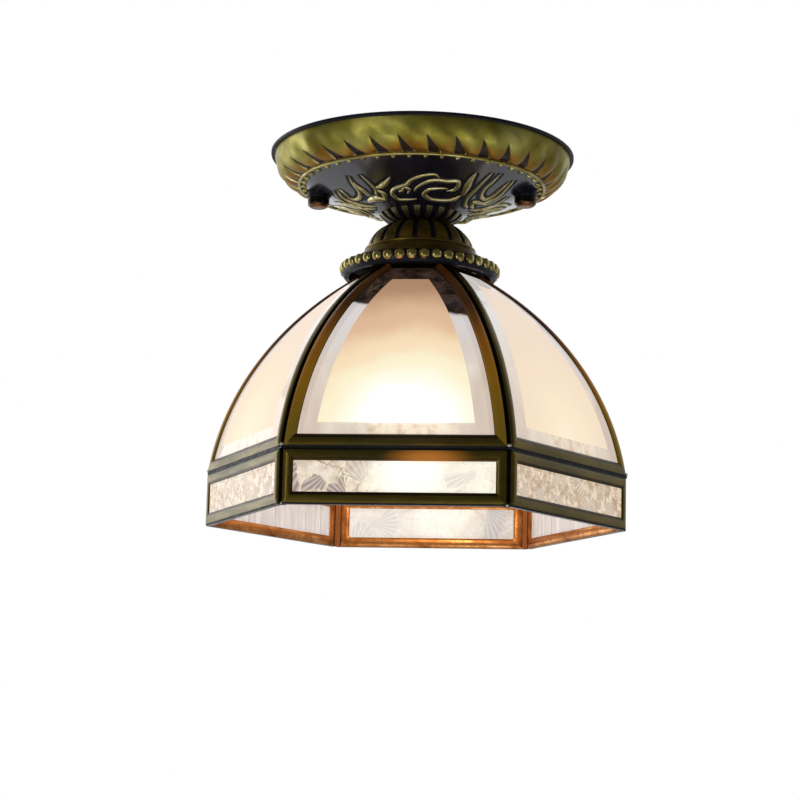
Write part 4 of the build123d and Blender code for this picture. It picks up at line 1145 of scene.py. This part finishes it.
def channel_frame(kind, panel, number, long_steps):
    """Channel round one pane: four rounded rails that meet in mitres, copper inside."""
    front = frame_face(panel, long_steps, 0.0, CROSS_RAIL_FACE, RAIL_OUTER_DROP, RAIL_INNER_DROP)
    back = frame_face(panel, long_steps, FRAME_DEPTH, FRAME_FACE, RAIL_BACK_DROP, RAIL_BACK_DROP)
    last_row, last_column = len(front) - 2, len(front[0]) - 2
    olive, shadow = RAIL_OLIVE[faces_camera(number)], RAIL_SHADOW[faces_camera(number)]

    def upright_metal(column):
        neighbour = number + (1 if column > last_column / 2 else -1)
        # Dome uprights beside panels that don't face the camera take the painted lamplight
        return RAIL_LAMPLIT if kind == "dome" and not faces_camera(neighbour) else olive

    def rail_step(row, column):
        cross, upright = min(row, last_row - row), min(column, last_column - column)
        return min(cross, upright), upright < cross

    def outer_face_metal(row, column):
        step, is_upright = rail_step(row, column)
        if step >= RAIL_STEPS:
            return None
        if is_upright:
            return upright_metal(column) if step < RAIL_STEPS - 1 else shadow
        # The outermost cells of the cross rails take the black solder: painted shade along their edges
        if step == 0:
            return DARK_SOLDER
        return olive if step < RAIL_OUTER_STEPS else shadow

    def copper(row, column):
        return RAIL_COPPER if rail_step(row, column)[0] < RAIL_STEPS else None

    def outer_wall(_, place):
        # Uprights' outer walls are olive; the top and bottom walls take the darker tones: painted shade
        along = place % (last_row + last_column + 2)
        return olive if along > last_column else shadow

    def crossed(row, column):
        return (row < RAIL_STEPS) != (column < RAIL_STEPS)

    relief = Relief(f"{kind}_rails_{number}")
    relief.sheet(front, outer_face_metal, crossed=crossed)
    relief.sheet(back, copper)
    walls(relief, front, back, outer_wall)
    walls(relief, front, back, RAIL_COPPER, RAIL_STEPS)
    panel_piece(relief, number, f"{kind}_frame", 30.0)


def dome_pane(panel, number):
    """Bent pane with an etched centre and a clear ground border that falls away to its edges."""
    at, length = panel
    top = length - PANE_SKIN
    border = FRAME_FACE - PANE_SKIN + BEVEL_WIDTH
    foot = CROSS_RAIL_FACE - PANE_SKIN + FOOT_BEVEL_WIDTH
    edge_steps, middle_rows, middle_columns = 4, 26, 18
    foot_edge, head_edge = (spread(0, width, edge_steps + 1) for width in (foot, HEAD_BORDER))
    stations = edged(PANE_SKIN, foot_edge, top, head_edge, middle_rows + 1)

    def face(depth, bevel):
        rows = []
        for station in stations:
            edge = half_width(at(PANE_SKIN, station)[0], PANE_SKIN)
            half = half_width(at(FRAME_DEPTH, station)[0], PANE_SKIN)
            side = spread(0, min(border, BEVEL_LIMIT * edge) - (edge - half), edge_steps + 1)
            row = []
            for offset in edged(-half, side, half, side, middle_columns + 1):
                from_side, from_head = (edge - abs(offset)) / border, (top - station) / border
                inset = min(from_side, from_head, (station - PANE_SKIN) / foot, 1.0)
                x, z = at(depth + bevel * (1 - inset), station)
                row.append((x, offset, z))
            rows.append(row)
        return rows

    frost, border_glass = FROST[faces_camera(number)], BORDER[faces_camera(number)]

    def material(row, column):
        across = edge_steps <= column < edge_steps + middle_columns
        return frost if across and edge_steps <= row < edge_steps + middle_rows else border_glass

    relief = Relief(f"dome_glass_{number}")
    front, back = face(PANE_SKIN, BEVEL_DEPTH), face(FRAME_DEPTH - PANE_SKIN, 0.0)
    relief.sheet(front, material)
    relief.sheet(back, material)
    walls(relief, front, back, border_glass)
    panel_piece(relief, number, "dome_pane", 25.0)


def skirt_pane(panel, number):
    """Upright pane of glue-chip glass."""
    at, length = panel
    half = half_width(SHADE_APOTHEM - FRAME_DEPTH, PANE_SKIN)
    glass, glass_back = CHIPPED[faces_camera(number)], CHIPPED_BACK[faces_camera(number)]
    relief = Relief(f"skirt_glass_{number}")
    faces = []
    for depth, side in ((PANE_SKIN, glass), (FRAME_DEPTH - PANE_SKIN, glass_back)):
        rows = []
        for station in spread(PANE_SKIN, length - PANE_SKIN, SKIRT_ROWS):
            x, z = at(depth, station)
            rows.append([(x, offset, z) for offset in spread(-half, half, SKIRT_COLUMNS)])
        relief.sheet(rows, side)
        faces.append(rows)
    walls(relief, *faces, glass)
    panel_piece(relief, number, "skirt_pane", 38.0)


def corner_seams(kind, panel, inner, long_steps):
    """Solder at the bottom of the grooves between the frames, with its own metal on the side of the lamp."""
    at, length = panel
    relief = Relief(f"{kind}_solder")
    inner_column = 2
    for number in range(1, SIDES + 1):
        rows = []
        for station in spread(0, length, long_steps):
            corners = []
            for depth in (SEAM_FACE_DEPTH, SEAM_BACK_DEPTH):
                x, z = at(depth, station)
                half = half_width(x, 0)
                this_side = panel_turn(number) @ Vector((x, half, z))
                next_side = panel_turn(number + 1) @ Vector((x, -half, z))
                corners.append([tuple(this_side), tuple(next_side)])
            face, back = corners
            rows.append(face + back[::-1])
        relief.sheet(rows, lambda _, column: inner if column == inner_column else DARK_SOLDER, closed=True)
        for end in (rows[0], rows[-1]):
            relief.sheet([end[:2], end[:1:-1]], DARK_SOLDER)
    fixed_piece(relief.make(), f"{kind}_corner_seams")


def solder_drops():
    """Small bright solder drops where the seams cross at the waist and end at the skirt's foot."""
    relief = Relief("solder_drops")
    size = (DROP_RADIUS, DROP_STRETCH * DROP_RADIUS, DROP_RADIUS)
    for drop in WAIST_DROP, FOOT_DROP:
        corner = (SHADE_APOTHEM - drop["depth"]) / math.cos(math.pi / SIDES)
        relief.ball_ring(SIDES, corner, drop["z"], size, BRIGHT_SOLDER)
    made = relief.make()
    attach(made, "fixture")


def build_shade():
    dome, skirt = bent_panel(), flat_panel()
    for number in range(1, SIDES + 1):
        channel_frame("dome", dome, number, long_steps=40)
        channel_frame("skirt", skirt, number, long_steps=10)
        dome_pane(dome, number)
        skirt_pane(skirt, number)
    corner_seams("dome", dome, DARK_SOLDER, long_steps=41)
    corner_seams("skirt", skirt, CORNER_SOLDER, long_steps=2)
    solder_drops()


# Nodes that keep their solid shape and take a finer material
def dress(material, *names):
    for name in names:
        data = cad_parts[name].data
        data.materials.clear()
        data.materials.append(material)


def dress_nodes():
    dress(DARK_SOLDER, "waist_seam")
    dress(NUT_BRONZE, "cap_nut_left", "cap_nut_right")
    dress(PLATED_STEEL, "mounting_bar", "canopy_studs", "stud_nuts", "earth_screw", "stem_tube")
    dress(PLATED_STEEL, "canopy_washer", "canopy_lock_nut", "shade_washer", "shade_lock_nut", "lamp_tip")
    dress(PLAIN_BRASS, "stem_spacer", "crown_pan", "lampholder_cap")
    dress(PLAIN_BRASS, "lampholder_screw_shell", "lampholder_contact", "lampholder_terminals")
    dress(MOULDED_BLACK, "lampholder_body")
    dress(ALUMINIUM, "lamp_base")
    dress(LIT_GLOBE, "lamp_globe")


# Floor and light, in metres
def floor():
    size, height = 4.0, -0.95
    corners = [(-size, -size, height), (size, -size, height), (size, size, height), (-size, size, height)]
    mesh = bpy.data.meshes.new("floor")
    mesh.from_pydata(corners, [], [(0, 1, 2, 3)])
    shade = Shade("pale_floor", Roughness=0.6)
    cloud = shade.noise(1.5, detail=2.0)
    shade.set(Base_Color=shade.ramp(cloud, [(0.3, (0.91, 0.91, 0.90)), (0.7, (0.95, 0.95, 0.94))]))
    mesh.materials.append(shade.material)
    made = bpy.data.objects.new("floor", mesh)
    bpy.context.collection.objects.link(made)


def backdrop():
    """White studio surround for the camera. As a source of light it is bright behind, most of all on the
    left, and dim in front."""
    world = bpy.data.worlds.new("studio")
    bpy.context.scene.world = world
    world.use_nodes = True
    nodes = Nodes(world.node_tree)
    seen = nodes.tree.nodes["Background"].outputs[0]
    nodes.feed(seen.node.inputs["Color"], (1.0, 1.0, 1.0))
    way = nodes.node("ShaderNodeTexCoord", {}, "Generated")
    behind = nodes.band(nodes.axis(way, "Y"), -0.3, 0.55, 0.14, 1.0)
    left = nodes.band(nodes.axis(way, "X"), -0.5, 0.7, 1.0, 0.75)
    strength = nodes.math("MULTIPLY", behind, left)
    cast = nodes.node("ShaderNodeBackground", {"Color": (0.95, 0.97, 1.0), "Strength": strength})
    by_camera = nodes.node("ShaderNodeLightPath", {}, "Is Camera Ray")
    mixed = nodes.node("ShaderNodeMixShader", {"Fac": by_camera, 1: cast, 2: seen})
    nodes.feed(nodes.tree.nodes["World Output"].inputs["Surface"], mixed)


def softbox(name, place, size, watts):
    """Soft rectangular light aimed at the middle of the lamp."""
    light = bpy.data.lights.new(name, "AREA")
    light.shape = "RECTANGLE"
    light.size, light.size_y = size
    light.energy = watts
    made = bpy.data.objects.new(name, light)
    made.location = place
    aim = Vector((0.0, 0.0, -0.1)) - Vector(place)
    made.rotation_euler = aim.to_track_quat("-Z", "Y").to_euler()
    bpy.context.collection.objects.link(made)


def lights():
    softbox("left_back", (-1.35, 0.65, -0.15), (0.9, 1.3), 5.0)
    softbox("front_left", (-0.8, -1.3, -0.35), (0.35, 0.9), 4.0)
    softbox("under", (0.2, -0.5, -0.9), (0.9, 0.5), 3.0)


# Camera and picture
def camera():
    data = bpy.data.cameras.new("camera")
    data.sensor_width = SENSOR_WIDTH
    data.lens = FOCAL_PIXELS * SENSOR_WIDTH / IMAGE_PIXELS
    data.clip_start, data.clip_end = (reach * MM for reach in CAMERA_RANGE)
    made = bpy.data.objects.new("camera", data)
    stand = Matrix.Translation(Vector((CAMERA_SIDE, -CAMERA_DISTANCE, CAMERA_Z)) * MM)
    pitch = Matrix.Rotation(math.radians(90 + CAMERA_PITCH_DEG), 4, "X")
    roll = Matrix.Rotation(math.radians(CAMERA_ROLL_DEG), 4, "Z")
    made.matrix_world = Matrix.Rotation(math.radians(CAMERA_YAW_DEG), 4, "Z") @ stand @ pitch @ roll
    bpy.context.collection.objects.link(made)
    bpy.context.scene.camera = made


def picture():
    """Plain view transform, a clean picture and a little bloom round the brightest glass."""
    scene = bpy.context.scene
    scene.view_settings.view_transform = "Standard"
    scene.cycles.use_denoising = True
    scene.use_nodes = True
    nodes = Nodes(scene.node_tree)
    nodes.tree.nodes.clear()
    rendered = nodes.node("CompositorNodeRLayers", {}, "Image")
    bloom = {"Image": rendered, "Threshold": 1.5, "Size": 0.45, "Strength": 0.15}
    bloomed = nodes.node("CompositorNodeGlare", bloom, "Image", glare_type="BLOOM")
    out = nodes.tree.nodes.new("CompositorNodeComposite")
    nodes.feed(out.inputs["Image"], bloomed)


build_canopy()
build_cap()
build_shade()
dress_nodes()
floor()
backdrop()
lights()
camera()
picture()
